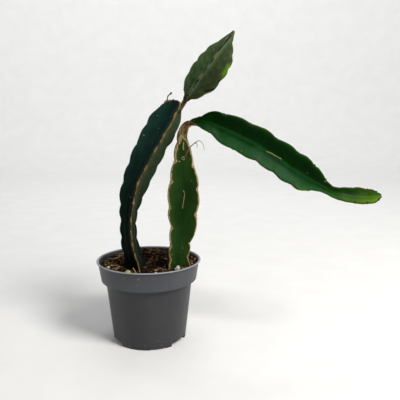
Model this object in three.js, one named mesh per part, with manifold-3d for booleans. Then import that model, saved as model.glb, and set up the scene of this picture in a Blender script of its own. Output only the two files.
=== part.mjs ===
// Potted dragon fruit cactus.
// Two three-winged cuttings stand in a 12 cm nursery pot. The left one carries an upright shoot,
// and the right one a long branch that droops past the rim and ends in a young tip.
// Millimetres, +Z up. The pot stands at Z = 0 on the Z axis, and -Y is the front.
import * as THREE from 'three';
import { mergeVertices } from 'three/addons/utils/BufferGeometryUtils.js';
import Module from 'manifold-3d';

const wasm = await Module();
wasm.setup();

const GAP = 0.3; // clearance between neighbouring pieces
const MERGE_TOLERANCE = 1e-4;

// Pot
const RIM_RADIUS = 60;
const POT_HEIGHT = 94;
const LIP_HEIGHT = 2.4;
const LIP_RUN = 2.6; // how far the lip stands out over the collar
const LIP_ROUND = 0.6;
const COLLAR_RADIUS = 55; // at the collar's lower edge
const COLLAR_BOTTOM = 71.2;
const SHOULDER_RADIUS = 49.9; // outer wall just under the collar
const FOOT_RADIUS = 42; // outer wall at the ground
const FOOT_ROUND = 0.7;
const WALL = 1.2;
const FLOOR = 2.6;
const POT_SIDES = 48;

// Feet: three tall arches with drained channels, and a shallow notch beside each of them
const ARCHES = 3;
const ARCH_HEIGHT = 5;
const ARCH_WIDTH = 38; // degrees
const ARCH_FIRST = -30; // degrees from +X
const CHANNEL_START = 22; // distance from the pot's axis
const CHANNEL_ROOF = 1.2;
const DRAIN_RADIUS = 4;
const DRAIN_CENTRE = 32;
const NOTCH_HEIGHT = 1.2;
const NOTCH_WIDTH = 26; // degrees
const NOTCH_TURN = 78; // degrees from an arch to the next notch
const NOTCH_START = 31;

// Potting mix
const SOIL_LEVEL = 89.8; // surface at the pot's axis
const SOIL_DIP = 3; // the most that the surface drops below that
const SOIL_RISE = { x: 0.018, y: 0.032 }; // slope of the surface towards the right and the back
const SOIL_WAVES = [
  { height: 0.5, x: 1 / 6, y: 0, phase: 1 },
  { height: 0.4, x: 0, y: 1 / 5, phase: 2 },
  { height: 0.35, x: 1 / 3.1, y: 1 / 3.1, phase: 0 },
];
const SOIL_RINGS = 5;
const HOLE_TOP = 37; // distance along a cutting's line up to which it fills a plain hole

// Stems
const STATION_STEP = 5; // along the line
const RIB_SPREAD = 60; // degrees from a rib to the valley beside it
const VALLEY_SHARE = 0.62; // the most that a valley stands out, as a share of the wing
const MARGIN_SHARE = 0.4; // the most that half an edge's thickness is, as a share of the wing
const NOTCH_SHARE = 0.25; // the most that a notch takes off, as a share of the wing
const VALLEY_PULL = 0.25; // how far the valley's curve runs on along its tangent
const EDGE_PULL = 0.5; // and the edge's
const BOW_LAG = 1.15; // a margin rises more steeply beyond an areole than it falls to the next
const BOW_FULLNESS = 0.7;
const AREOLE_RADIUS = 1.5;
const AREOLE_SUNK = 0.3;
const SPINE_LENGTH = 3.2; // from the centre of the areole
const SPINE_RADIUS = 0.5;
const SPINE_LEAN = 0.5;
const SPINE_RAKE = 0.35; // towards the growing end

// Each growth follows the line of its core. reach is the length of a wing from that line, and turn is
// how far the ribs are turned about it in degrees. Both are given at distances along the line.
// A rib's angle is measured from the front towards the right of the direction of growth. Its areoles
// sit in the notches of its margin, at distances along the line. notch is the depth of those, core
// the radius of the valleys, and margin half the thickness of a wing's edge.
const LEFT_STEM = {
  line: [
    [-4.5, -24.5, 58], [-10.8, -22.8, 88], [-18, -19.3, 115], [-19.6, -17.4, 139],
    [-17.2, -16, 162], [-10.8, -14.6, 184], [-1.5, -13.4, 205.5], [8.7, -12.3, 225.5],
    [19.6, -11.3, 244.5], [28, -10.4, 261], [31, -10, 268], [31.4, -10, 273.4],
  ],
  reach: [
    [0, 10], [24, 13.4], [36, 13.2], [60, 11.4], [84, 10.8], [98, 12.4], [112, 15.4], [132, 18],
    [165, 19.8], [190, 20.8], [200, 20.6], [212, 18.8], [222, 14.5], [230, 10.6],
  ],
  turn: [[0, 20], [84, 20], [112, 15], [135, 11.5], [160, 14], [180, 16], [205, 16.5], [216, 20.5], [230, 30]],
  ribs: [
    { angle: -120, areoles: [52, 68, 86, 102, 125, 145, 167, 191, 211] },
    { angle: 0, areoles: [44, 60, 73, 88, 108, 132, 150, 172, 192, 214] },
    { angle: 120, areoles: [47, 65, 82, 97, 115, 136, 156, 179, 198] },
  ],
  notch: 2.2,
  core: 5.5,
  margin: 1.5,
  rooted: true,
};

const LEFT_SHOOT = {
  line: [
    [35.2, -4, 260.5], [38.4, -1.6, 266.5], [42.2, -0.6, 273], [46.6, -0.2, 280],
    [53.2, 0.4, 289], [62.8, 1.2, 300.8], [72, 2, 312.3], [80.8, 2.8, 324.4],
    [88.7, 3.5, 337.3], [96.6, 4, 349.4],
  ],
  reach: [
    [0, 2.6], [16, 2.6], [21, 5], [26, 11.5], [33, 15.5], [43, 19.8], [56, 21.6], [70, 21.2],
    [82, 18.2], [90, 13.2], [98, 7.2], [105, 2.8], [111, 1],
  ],
  turn: [[0, 0], [40, -4], [111, -4]],
  ribs: [
    { angle: -120, areoles: [25, 43, 60, 75, 91] },
    { angle: 0, areoles: [35, 50, 65, 89, 100] },
    { angle: 120, areoles: [37, 57, 73, 86, 97] },
  ],
  notch: 1.6,
  core: 4.2,
  margin: 1.3,
};

const RIGHT_STEM = {
  line: [
    [29, -14, 58], [33, -14.7, 88], [34.4, -14.1, 116], [39.6, -13.4, 136], [40.4, -13, 156],
    [41.3, -12.4, 180], [41.1, -12, 204], [40.1, -12, 226], [40.9, -12, 239.8], [44.2, -12, 247],
    [48.2, -12, 249.4],
  ],
  reach: [
    [0, 11], [24, 14.2], [50, 14.4], [60, 15], [80, 17.2], [96, 19.2], [110, 20], [126, 19.6],
    [136, 17], [150, 13.6], [160, 11], [170, 8.7], [182, 6.3], [190, 4.5], [197, 3.8],
  ],
  turn: [[0, 25], [58, 24], [75, 8], [95, 3], [197, 0]],
  ribs: [
    { angle: -60, areoles: [41, 56, 75, 100, 129, 152, 172] },
    { angle: 60, areoles: [43, 61, 92, 121, 146, 177] },
    { angle: 180, areoles: [46, 66, 84, 110, 137, 160] },
  ],
  notch: 2.2,
  core: 5.5,
  margin: 1.5,
  rooted: true,
};

const RIGHT_BRANCH = {
  line: [
    [48.5, -12, 249.4], [58, -12.9, 250.4], [70, -14.3, 248.6], [84, -15.8, 245.4],
    [100.5, -17.7, 238.2], [116, -19.6, 230.2], [130.5, -21.5, 221], [146, -23.4, 211],
    [160, -25.3, 201.2], [176, -27.2, 192.4], [190, -28.8, 184.8], [199.2, -30, 178.8],
  ],
  reach: [
    [0, 3.8], [6, 5.2], [12, 8.4], [18, 12.8], [30, 16.8], [45, 19.6], [60, 20.8], [90, 20.2], [120, 20.6],
    [138, 19.8], [148, 16.6], [156, 12.2], [164, 8.4], [171, 7],
  ],
  turn: [[0, -30], [20, -25], [35, 2], [60, 6], [85, -4], [130, -3], [150, 8], [171, 10]],
  ribs: [
    { angle: -60, areoles: [10, 34, 62, 92, 118, 142, 160] },
    { angle: 60, areoles: [24, 57, 87, 108, 129, 150] },
    { angle: 180, areoles: [16, 45, 74, 98, 124, 147, 163] },
  ],
  notch: 2.2,
  core: 5,
  margin: 1.4,
};

const BRANCH_TIP = {
  line: [
    [199.5, -30, 178.6], [204.5, -30.5, 175.6], [215, -31.1, 172.4], [228, -32, 170.4],
    [240, -33, 169.8], [248, -33.6, 171.2], [253.8, -34, 172.6],
  ],
  reach: [[0, 7], [8, 7.3], [18, 10.2], [30, 11.6], [42, 11], [50, 8.5], [54, 5], [57, 2]],
  turn: [[0, 10], [14, -25], [40, -38], [57, -35]],
  ribs: [
    { angle: -60, areoles: [22, 42, 52] },
    { angle: 60, areoles: [28, 40, 52] },
    { angle: 180, areoles: [17, 35, 49] },
  ],
  notch: 1.4,
  core: 3.6,
  margin: 1.2,
};

// Dry parts: tubes with a radius and a route
const AERIAL_ROOT = [
  { radius: 0.6, route: [[41.9, -15, 211.8], [43.6, -20, 214.6], [48, -21.8, 223], [52, -21.5, 227],
    [56, -20, 230]] },
  { radius: 0.45, route: [[54, -20.8, 228.6], [56.4, -20.6, 227], [55.9, -20.4, 223.2]] },
  { radius: 0.4, route: [[55.4, -20.2, 229.6], [59, -20, 230.8], [62.4, -20.4, 227.4], [64.3, -21, 220.8]] },
];
const DRIED_SPUR = { radius: 0.75, route: [[24, -8.4, 272.4], [23.9, -8.4, 275.4], [24.4, -8.8, 278.4],
  [27.8, -9, 281.8]] };
const SPUR_KNOB_RADIUS = 1.2;
const STRAW = { radius: 0.45, route: [[-5.6, -49, 86.2], [-8, -47, 89.2], [-10.8, -44.2, 92.4],
  [-13, -42, 95]] };
const TUBE_SIDES = 5;
const TUBE_STEPS = 2; // along each stretch of a route

// Loose things that lie in the surface of the mix: half of their length, and turn about Z in degrees
const PERLITE = [
  { x: 35, y: -33.5, size: 2.8, turn: 10 }, { x: -44, y: -19, size: 1.6, turn: 40 },
  { x: 12, y: -44, size: 1.2, turn: 0 }, { x: 35, y: 32, size: 1.4, turn: 70 },
  { x: -30, y: 26, size: 1.3, turn: 25 }, { x: 44, y: 20, size: 1.5, turn: 50 },
];
const BARK_CHIPS = [
  { x: 11.5, y: -33, size: 3, turn: 30 }, { x: -36, y: 6, size: 2.6, turn: 110 },
  { x: 18, y: 12, size: 3.4, turn: 60 }, { x: -8, y: 40, size: 2.8, turn: 150 },
];
const PERLITE_FORM = [1, 0.9, 0.85]; // length, width and height as shares of the size
const CHIP_FORM = [1, 0.45, 0.4];
const PERLITE_LIFT = 0.45; // how far the middle lies above the mix, as a share of the size

// A scrap of leaf that has curled into an arch with both ends in the mix
const LEAF_SCRAP = { x: -18.2, y: -44, radius: 3.9, width: 3.4, thickness: 0.9, turn: 20, tilt: 12 };

const rad = THREE.MathUtils.degToRad;
const vector = (p) => new THREE.Vector3(...p);

// Solids from closed geometries, and back

function toSolid(geometry) {
  const bare = geometry.clone();
  bare.deleteAttribute('normal');
  bare.deleteAttribute('uv');
  const merged = mergeVertices(bare, MERGE_TOLERANCE);
  return new wasm.Manifold(new wasm.Mesh({
    numProp: 3,
    vertProperties: new Float32Array(merged.attributes.position.array),
    triVerts: new Uint32Array(merged.index.array),
  }));
}

function toMesh(name, solid, color, roughness) {
  const result = solid.getMesh();
  const geometry = new THREE.BufferGeometry();
  geometry.setAttribute('position', new THREE.BufferAttribute(result.vertProperties, 3));
  geometry.setIndex(new THREE.BufferAttribute(result.triVerts, 1));
  geometry.computeVertexNormals();
  const mesh = new THREE.Mesh(geometry, new THREE.MeshStandardMaterial({ color, roughness, metalness: 0 }));
  mesh.name = name;
  return mesh;
}

// Value at a distance, from a table of distances and values
function along(table, distance) {
  const next = table.findIndex(([at]) => at > distance);
  if (next === 0) return table[0][1];
  if (next < 0) return table[table.length - 1][1];
  const [a, b] = [table[next - 1], table[next]];
  return THREE.MathUtils.mapLinear(distance, a[0], b[0], a[1], b[1]);
}

// Winged stems

function lineOf(growth) {
  const curve = new THREE.CatmullRomCurve3(growth.line.map(vector));
  curve.arcLengthDivisions = 600;
  return { curve, length: curve.getLength() };
}

// How far a margin has bowed out between two areoles, from 0 at each to 1 between them
function bow(areoles, distance, length) {
  const stops = [0, ...areoles, length + STATION_STEP];
  const next = Math.max(1, stops.findIndex((at) => at > distance));
  const share = (distance - stops[next - 1]) / (stops[next] - stops[next - 1]);
  return Math.sin(Math.PI * share ** BOW_LAG) ** BOW_FULLNESS;
}

function wingLength(growth, rib, distance, length) {
  const reach = along(growth.reach, distance);
  const inHole = growth.rooted && distance < HOLE_TOP;
  const dip = inHole ? 0 : Math.min(growth.notch, reach * NOTCH_SHARE);
  return reach - dip * (1 - bow(rib.areoles, distance, length));
}

// The core's point at a distance along the line, and the directions across it there
function stationAt({ curve, length }, distance) {
  const share = THREE.MathUtils.clamp(distance / length, 0, 1);
  const tangent = curve.getTangentAt(share);
  const front = new THREE.Vector3(0, -1, 0).projectOnPlane(tangent).normalize();
  const right = new THREE.Vector3().crossVectors(tangent, front);
  return { point: curve.getPointAt(share), tangent, front, right };
}

function direction(station, degrees) {
  return station.front.clone().multiplyScalar(Math.cos(rad(degrees)))
    .addScaledVector(station.right, Math.sin(rad(degrees)));
}

// A wing's outline in its own axes, outwards and across, from one valley up to the next
function wingOutline(wing, growth, swell) {
  const valley = Math.min(growth.core, wing * VALLEY_SHARE) + swell;
  const half = Math.min(growth.margin, wing * MARGIN_SHARE) + swell;
  const [cos, sin] = [Math.cos(rad(RIB_SPREAD)), Math.sin(rad(RIB_SPREAD))];
  const start = new THREE.Vector2(valley * cos, valley * sin);
  const end = new THREE.Vector2(wing + swell - half, half);
  const span = start.distanceTo(end);
  const leave = new THREE.Vector2(sin, -cos).multiplyScalar(span * VALLEY_PULL).add(start);
  const arrive = new THREE.Vector2(end.x - span * EDGE_PULL, end.y);
  const side = new THREE.CubicBezierCurve(start, leave, arrive, end).getPoints(2);
  const other = side.map((p) => new THREE.Vector2(p.x, -p.y));
  return [...other, new THREE.Vector2(wing + swell, 0), ...side.reverse().slice(0, -1)];
}

function ringAt(growth, line, distance, swell) {
  const station = stationAt(line, distance);
  return growth.ribs.flatMap((rib) => {
    const angle = rib.angle + along(growth.turn, distance);
    const out = direction(station, angle);
    const across = direction(station, angle + 90);
    const outline = wingOutline(wingLength(growth, rib, distance, line.length), growth, swell);
    return outline.map((p) => station.point.clone().addScaledVector(out, p.x).addScaledVector(across, p.y));
  });
}

// Closed body through rings of equal counts, with a flat fan over each end
function loft(rings) {
  const count = rings[0].length;
  const last = (rings.length - 1) * count;
  const middle = (ring) => ring.reduce((sum, p) => sum.add(p), new THREE.Vector3()).divideScalar(count);
  const points = [...rings.flat(), middle(rings[0]), middle(rings[rings.length - 1])];
  const faces = [];
  for (let i = 0; i < count; i++) {
    const j = (i + 1) % count;
    for (let a = 0; a < last; a += count) {
      const b = a + count;
      faces.push(a + i, a + j, b + j, a + i, b + j, b + i);
    }
    faces.push(last + count, j, i);
    faces.push(last + count + 1, last + i, last + j);
  }
  const geometry = new THREE.BufferGeometry().setFromPoints(points);
  geometry.setIndex(faces);
  return geometry;
}

// A stem without its areoles, up to a distance along its line. swell moves the whole surface out.
function wingedBody(growth, { to = Infinity, swell = 0 } = {}) {
  const line = lineOf(growth);
  const end = Math.min(to, line.length);
  const steps = Math.round(end / STATION_STEP);
  const rings = Array.from({ length: steps + 1 }, (_, i) => ringAt(growth, line, end * i / steps, swell));
  const lengthen = (ring, distance, by) => {
    const { tangent } = stationAt(line, distance);
    ring.forEach((p) => p.addScaledVector(tangent, by));
  };
  lengthen(rings[0], 0, -swell);
  lengthen(rings[steps], end, swell);
  return toSolid(loft(rings));
}

// A cone with its base at a point, pointing along a direction
function coneAt(point, way, radius, height, sides) {
  const turn = new THREE.Quaternion().setFromUnitVectors(new THREE.Vector3(0, 1, 0), way);
  return toSolid(new THREE.ConeGeometry(radius, height, sides, 1).translate(0, height / 2, 0)
    .applyQuaternion(turn).translate(point.x, point.y, point.z));
}

// An areole's cushion in the notch, with a short spine that leans to one side of the margin
function areole(growth, rib, distance, line, lean) {
  const station = stationAt(line, distance);
  const out = direction(station, rib.angle + along(growth.turn, distance));
  const across = new THREE.Vector3().crossVectors(station.tangent, out);
  const depth = AREOLE_RADIUS + AREOLE_SUNK;
  const root = station.point.clone()
    .addScaledVector(out, wingLength(growth, rib, distance, line.length) - depth);
  const way = out.clone().addScaledVector(across, lean).addScaledVector(station.tangent, SPINE_RAKE);
  const cushion = coneAt(root, out, AREOLE_RADIUS, AREOLE_RADIUS * 2, 4);
  const spine = coneAt(root.addScaledVector(out, depth - AREOLE_SUNK), way.normalize(), SPINE_RADIUS,
    SPINE_LENGTH, 3);
  return cushion.add(spine);
}

function stem(growth) {
  const line = lineOf(growth);
  let solid = wingedBody(growth);
  growth.ribs.forEach((rib, r) => rib.areoles.forEach((distance, i) => {
    const lean = (i + r) % 2 ? SPINE_LEAN : -SPINE_LEAN;
    solid = solid.add(areole(growth, rib, distance, line, lean));
  }));
  return solid;
}

// What grows from a stem is cut to fit its surface
function seated(solid, growth) {
  return solid.subtract(wingedBody(growth, { swell: GAP }));
}

// Pot

const lipBottom = POT_HEIGHT - LIP_HEIGHT;
const collarTopRadius = RIM_RADIUS - LIP_RUN;
const ledge = COLLAR_BOTTOM + WALL; // inside, above the step under the collar
const wallAt = (height) => THREE.MathUtils.mapLinear(height, 0, COLLAR_BOTTOM, FOOT_RADIUS, SHOULDER_RADIUS);
const collarAt = (height) => THREE.MathUtils.mapLinear(height, COLLAR_BOTTOM, lipBottom, COLLAR_RADIUS,
  collarTopRadius);

function turned(outline) {
  const points = outline.map(([radius, height]) => new THREE.Vector2(radius, height));
  return new THREE.LatheGeometry(points, POT_SIDES).rotateX(Math.PI / 2);
}

// A block between two radii, about a direction from the pot's axis, with a width in degrees
function sector(inner, outer, centre, width, bottom, top) {
  const [start, end] = [rad(centre - width / 2), rad(centre + width / 2)];
  const shape = new THREE.Shape();
  shape.absarc(0, 0, outer, start, end, false);
  shape.absarc(0, 0, inner, end, start, true);
  shape.closePath();
  const options = { depth: top - bottom, bevelEnabled: false, curveSegments: 4 };
  return new THREE.ExtrudeGeometry(shape, options).translate(0, 0, bottom);
}

// A channel's width once both of its sides have moved out by a distance
function widened(width, distance) {
  return width + 2 * THREE.MathUtils.radToDeg(distance / DRAIN_CENTRE);
}

function atArches(make) {
  return Array.from({ length: ARCHES }, (_, i) => toSolid(make(ARCH_FIRST + i * 360 / ARCHES)));
}

const roofTop = ARCH_HEIGHT + CHANNEL_ROOF;

function drain(turn) {
  return new THREE.CylinderGeometry(DRAIN_RADIUS, DRAIN_RADIUS, roofTop, 16).rotateX(Math.PI / 2)
    .translate(DRAIN_CENTRE * Math.cos(rad(turn)), DRAIN_CENTRE * Math.sin(rad(turn)), roofTop);
}

function pot() {
  const outline = [
    [0, 0], [FOOT_RADIUS - FOOT_ROUND, 0], [wallAt(FOOT_ROUND), FOOT_ROUND],
    [SHOULDER_RADIUS, COLLAR_BOTTOM], [COLLAR_RADIUS, COLLAR_BOTTOM], [collarTopRadius, lipBottom],
    [RIM_RADIUS - LIP_ROUND, lipBottom], [RIM_RADIUS, lipBottom + LIP_ROUND],
    [RIM_RADIUS, POT_HEIGHT - LIP_ROUND], [RIM_RADIUS - LIP_ROUND, POT_HEIGHT],
    [collarTopRadius, POT_HEIGHT], [collarAt(lipBottom) - WALL, lipBottom],
    [collarAt(ledge) - WALL, ledge], [wallAt(ledge) - WALL, ledge], [wallAt(FLOOR) - WALL, FLOOR],
    [0, FLOOR],
  ];
  const bosses = atArches((turn) => sector(CHANNEL_START - WALL, FOOT_RADIUS - WALL / 2, turn,
    widened(ARCH_WIDTH, WALL), FLOOR / 2, roofTop));
  const cuts = [
    ...atArches((turn) => sector(CHANNEL_START, RIM_RADIUS, turn, ARCH_WIDTH, -WALL, ARCH_HEIGHT)),
    ...atArches((turn) => sector(NOTCH_START, RIM_RADIUS, turn + NOTCH_TURN, NOTCH_WIDTH, -WALL,
      NOTCH_HEIGHT)),
    ...atArches(drain),
  ];
  const shell = toSolid(turned(outline));
  const whole = bosses.reduce((solid, boss) => solid.add(boss), shell);
  return cuts.reduce((solid, cut) => solid.subtract(cut), whole);
}

// Potting mix

function soilHeight(x, y) {
  const slope = SOIL_LEVEL + SOIL_RISE.x * x + SOIL_RISE.y * y;
  return SOIL_WAVES.reduce((sum, wave) => (
    sum + wave.height * Math.sin(wave.x * x + wave.y * y + wave.phase)), slope);
}

// The mix as a full block. Its surface follows the formula, raised by a lift.
function soilBlock(lift = 0) {
  const clear = WALL + GAP;
  const edge = collarAt(SOIL_LEVEL - SOIL_DIP) - clear;
  const surface = Array.from({ length: SOIL_RINGS }, (_, i) => [edge * (1 - i / SOIL_RINGS), SOIL_LEVEL]);
  const outline = [
    [0, FLOOR + GAP], [wallAt(FLOOR) - clear, FLOOR + GAP], [wallAt(ledge) - clear, ledge + GAP],
    [collarAt(ledge) - clear, ledge + GAP], ...surface, [0, SOIL_LEVEL],
  ];
  const geometry = turned(outline);
  const { position } = geometry.attributes;
  for (let i = 0; i < position.count; i++) {
    if (position.getZ(i) > SOIL_LEVEL - GAP) {
      position.setZ(i, soilHeight(position.getX(i), position.getY(i)) + lift);
    }
  }
  return toSolid(geometry);
}

function soil() {
  const cuts = [
    ...atArches((turn) => sector(CHANNEL_START - WALL - GAP, RIM_RADIUS, turn,
      widened(ARCH_WIDTH, WALL + GAP), 0, roofTop + GAP)),
    ...[LEFT_STEM, RIGHT_STEM].map((growth) => wingedBody(growth, { to: HOLE_TOP, swell: GAP })),
  ];
  return cuts.reduce((solid, cut) => solid.subtract(cut), soilBlock());
}

// Small pieces

function tube({ radius, route }) {
  const section = new THREE.Shape();
  section.setFromPoints(Array.from({ length: TUBE_SIDES }, (_, i) => {
    const angle = 2 * Math.PI * i / TUBE_SIDES;
    return new THREE.Vector2(radius * Math.cos(angle), radius * Math.sin(angle));
  }));
  section.closePath();
  const extrudePath = new THREE.CatmullRomCurve3(route.map(vector));
  const options = { steps: TUBE_STEPS * (route.length - 1), extrudePath, bevelEnabled: false };
  return toSolid(new THREE.ExtrudeGeometry(section, options));
}

function aerialRoot() {
  const [main, ...forks] = AERIAL_ROOT.map(tube);
  return forks.reduce((root, fork) => root.add(fork), main);
}

function driedSpur() {
  const end = DRIED_SPUR.route[DRIED_SPUR.route.length - 1];
  const knob = new THREE.IcosahedronGeometry(SPUR_KNOB_RADIUS, 0).translate(...end);
  return tube(DRIED_SPUR).add(toSolid(knob));
}

// What lies in the surface of the mix is cut to fit it
function settled(solid) {
  return solid.subtract(soilBlock(GAP));
}

function lump(form, { x, y, size, turn }, lift = 0) {
  const geometry = new THREE.IcosahedronGeometry(size, 0).scale(...form).rotateZ(rad(turn));
  return toSolid(geometry.translate(x, y, soilHeight(x, y) + GAP + size * lift));
}

function leafScrap({ x, y, radius, width, thickness, turn, tilt }) {
  const shape = new THREE.Shape();
  shape.absarc(0, 0, radius, 0, Math.PI, false);
  shape.absarc(0, 0, radius - thickness, Math.PI, 0, true);
  shape.closePath();
  const options = { depth: width, bevelEnabled: false, curveSegments: 8 };
  const geometry = new THREE.ExtrudeGeometry(shape, options).translate(0, 0, -width / 2);
  geometry.rotateZ(rad(tilt)).rotateX(Math.PI / 2).rotateZ(rad(turn));
  return toSolid(geometry.translate(x, y, soilHeight(x, y)));
}

// Assembly

const plant = new THREE.Group();
plant.add(
  toMesh('pot', pot(), 0x5d5f62, 0.55),
  toMesh('soil', soil(), 0x2e2118, 1),
  toMesh('left_stem', stem(LEFT_STEM), 0x1f3d33, 0.5),
  toMesh('left_shoot', seated(stem(LEFT_SHOOT), LEFT_STEM), 0x3c5f32, 0.5),
  toMesh('right_stem', stem(RIGHT_STEM), 0x1f4413, 0.5),
  toMesh('right_branch', seated(stem(RIGHT_BRANCH), RIGHT_STEM), 0x1c4a1e, 0.45),
  toMesh('branch_tip', seated(stem(BRANCH_TIP), RIGHT_BRANCH), 0x5d8a1c, 0.45),
  toMesh('aerial_root', seated(aerialRoot(), RIGHT_STEM), 0x6b4430, 0.9),
  toMesh('dried_spur', seated(driedSpur(), LEFT_STEM), 0x5a3a26, 0.9),
  toMesh('leaf_scrap', settled(leafScrap(LEAF_SCRAP)), 0x7c9440, 0.8),
  toMesh('straw', settled(tube(STRAW)), 0xb39563, 0.9),
);
PERLITE.forEach((place, i) => {
  const grain = lump(PERLITE_FORM, place, PERLITE_LIFT);
  plant.add(toMesh(`perlite_${i + 1}`, settled(grain), 0xe6e1da, 0.9));
});
BARK_CHIPS.forEach((place, i) => {
  plant.add(toMesh(`bark_chip_${i + 1}`, settled(lump(CHIP_FORM, place)), 0x5b3c25, 0.9));
});

export default plant;
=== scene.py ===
import itertools
import math

import bmesh
import bpy
import numpy as np
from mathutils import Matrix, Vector


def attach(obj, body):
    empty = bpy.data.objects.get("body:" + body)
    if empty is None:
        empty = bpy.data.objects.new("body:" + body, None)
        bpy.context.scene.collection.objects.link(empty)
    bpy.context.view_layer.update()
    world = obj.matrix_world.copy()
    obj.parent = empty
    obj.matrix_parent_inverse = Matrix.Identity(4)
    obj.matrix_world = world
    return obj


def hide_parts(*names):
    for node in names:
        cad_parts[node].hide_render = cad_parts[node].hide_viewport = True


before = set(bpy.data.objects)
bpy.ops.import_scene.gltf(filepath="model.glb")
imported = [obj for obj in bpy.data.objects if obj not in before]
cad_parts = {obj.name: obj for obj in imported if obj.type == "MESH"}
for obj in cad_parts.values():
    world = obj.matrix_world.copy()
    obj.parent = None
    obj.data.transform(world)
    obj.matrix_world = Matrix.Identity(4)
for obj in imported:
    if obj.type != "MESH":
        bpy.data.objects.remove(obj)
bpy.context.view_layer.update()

MM = 0.001  # in metres

# Camera, at the photograph's angle
CAMERA_PLACE = (0.05944, -0.560, 0.24894)  # in metres
CAMERA_PITCH = 8.743  # degrees below the horizon
CAMERA_LENS = 44.58  # in millimetres, as the sensor's width is
CAMERA_SENSOR = 36

# Pot
RIM_RADIUS = 60
POT_HEIGHT = 94
LIP_HEIGHT = 1.8
LIP_RUN = 1.8
COLLAR_RADIUS = 55
COLLAR_BOTTOM = 71.2
SHOULDER_RADIUS = 49.9
FOOT_RADIUS = 42
WALL = 1.2
FLOOR = 2.6
POT_SIDES = 192
POT_SHARP = 34  # in degrees, the bend from which an edge stays sharp
ARCHES = 3
ARCH_HEIGHT = 5
ARCH_WIDTH = 38  # in degrees, as ARCH_FIRST, NOTCH_WIDTH and NOTCH_TURN are
ARCH_FIRST = -30
CHANNEL_START = 22
CHANNEL_ROOF = 1.2
DRAIN_RADIUS = 4
DRAIN_CENTRE = 32
NOTCH_HEIGHT = 1.2
NOTCH_WIDTH = 26
NOTCH_TURN = 78
NOTCH_START = 31

# Dried smudges of mix on the pot's wall
SMUDGE_RADIUS = 0.9
SMUDGES = [
    (4.8, -43.4, 15.2), (16.6, -39.6, 8.8), (18.6, -38.8, 9), (20.4, -37.8, 8.3), (23.1, -36.1, 7.5),
    (25, -34.7, 6.6), (26.8, -33.3, 7.1), (28.5, -32, 7.8), (32.2, -28.3, 8.2), (-7.3, -55.6, 80),
    (18, -52.2, 73.2), (-14, -47.2, 65), (38.3, -22.4, 21.3),
]

# Potting mix
SOIL_LEVEL = 89.8
# Its level rises along x and y. A wave is its height, its rates along x and y, and its phase.
SOIL_RISE = (0.018, 0.032)
SOIL_WAVES = [(0.5, 1 / 6, 0, 1), (0.4, 0, 1 / 5, 2), (0.35, 1 / 3.1, 1 / 3.1, 0)]
SOIL_BOTTOM = ARCH_HEIGHT + CHANNEL_ROOF + 0.3
SOIL_GAP = 0.15  # between the mix and the wall
SOIL_BED_DEPTH = 0.7  # how far the bed lies under the mix's level, which its lumps and crumbs reach
SOIL_BED_TONE = 0.16
SOIL_RINGS = 90
SOIL_SIDES = 260
STEM_CLEARANCE = 6  # how near to a stem's middle the loose bits come
CRUMBS = [(2600, 0.3, 0.75, 1), (560, 0.75, 1.5, 2), (60, 1.5, 2.3, 2)]  # count, sizes, subdivisions
PALE_CRUMBS = 0.1  # their share, and how much larger it is where pale bits lie
PALE_LITTER = 0.42
FIBRES = 520

# Stems
STATION = 0.6  # distance between two rings
END_STEP = 5  # how far the last notch lies beyond the end
SIDE_POINTS = 22
EDGE_POINTS = 6
RIB_SPREAD = 60
VALLEY_SHARE = 0.62  # the most of a wing's length that its valley, its margin and a notch take
MARGIN_SHARE = 0.4
NOTCH_SHARE = 0.25
VALLEY_PULL = 0.25
EDGE_PULL = 0.5
HOLE_TOP = 37  # how far up a rooted stem is plain, in its hole in the mix
BOW_LAG = 1.15
BOW_FULLNESS = 0.7
SWELLING = 0.1  # how much thicker a margin is beside an areole
SWELLING_LENGTH = 2.2
SWAY = 0.9  # how far a margin wanders to its sides
SWAY_LENGTH = 17
PATCH_SIZES = (0.2, 1.3)
PATCH_LENGTH = 2.4
START_ROWS = 5
END_ROWS = 9
END_ROUGHNESS = 1.1
JOIN_BEFORE = 6  # one growth changes into another from this far before their join
JOIN_AFTER = 8

# Relief of the skins: heights and the sizes of the lumps
WAVE_HEIGHT = 0.3
WAVE_SIZE = 11
WRINKLE_HEIGHT = 0.06
WRINKLE_SIZE = 3.2
CRUST_HEIGHT = 0.22
CRUST_SIZE = 1.7
SCAR_HEIGHT = 0.16
HOLE_DEPTH = 0.5

# Areoles
CUSHION_FORM = np.array([1.25, 1, 0.75])  # along the rib, across it and out from it
SPINE_LENGTHS = (1.2, 2.6)
SPINE_RADII = (0.16, 0.26)
SPINE_DROOP = 0.12

LEFT_STEM = {
    "line": [
        (-4.5, -24.5, 58), (-10.8, -22.8, 88), (-18, -19.3, 115), (-19.6, -17.4, 139),
        (-17.2, -16, 162), (-10.8, -14.6, 184), (-1.5, -13.4, 205.5), (8.7, -12.3, 225.5),
        (19.6, -11.3, 244.5), (28, -10.4, 261), (31, -10, 268), (31.4, -10, 273.4),
    ],
    "reach": [
        (0, 10), (24, 13.4), (36, 13.2), (60, 11.4), (84, 10.8), (98, 12.4), (112, 15.4), (132, 18),
        (165, 19.8), (190, 20.8), (200, 20.6), (212, 18.8), (222, 14.5), (230, 10.6),
    ],
    "turn": [
        (0, 20), (84, 20), (112, 15), (135, 11.5), (160, 14), (180, 16), (205, 16.5), (216, 20.5),
        (230, 30),
    ],
    "ribs": [
        (-120, [52, 68, 86, 102, 125, 145, 167, 191, 211]),
        (0, [44, 60, 73, 88, 108, 132, 150, 172, 192, 214]),
        (120, [47, 65, 82, 97, 115, 136, 156, 179, 198]),
    ],
    "notch": 2.2, "core": 5.5, "margin": 1.5, "rooted": True,
}
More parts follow.
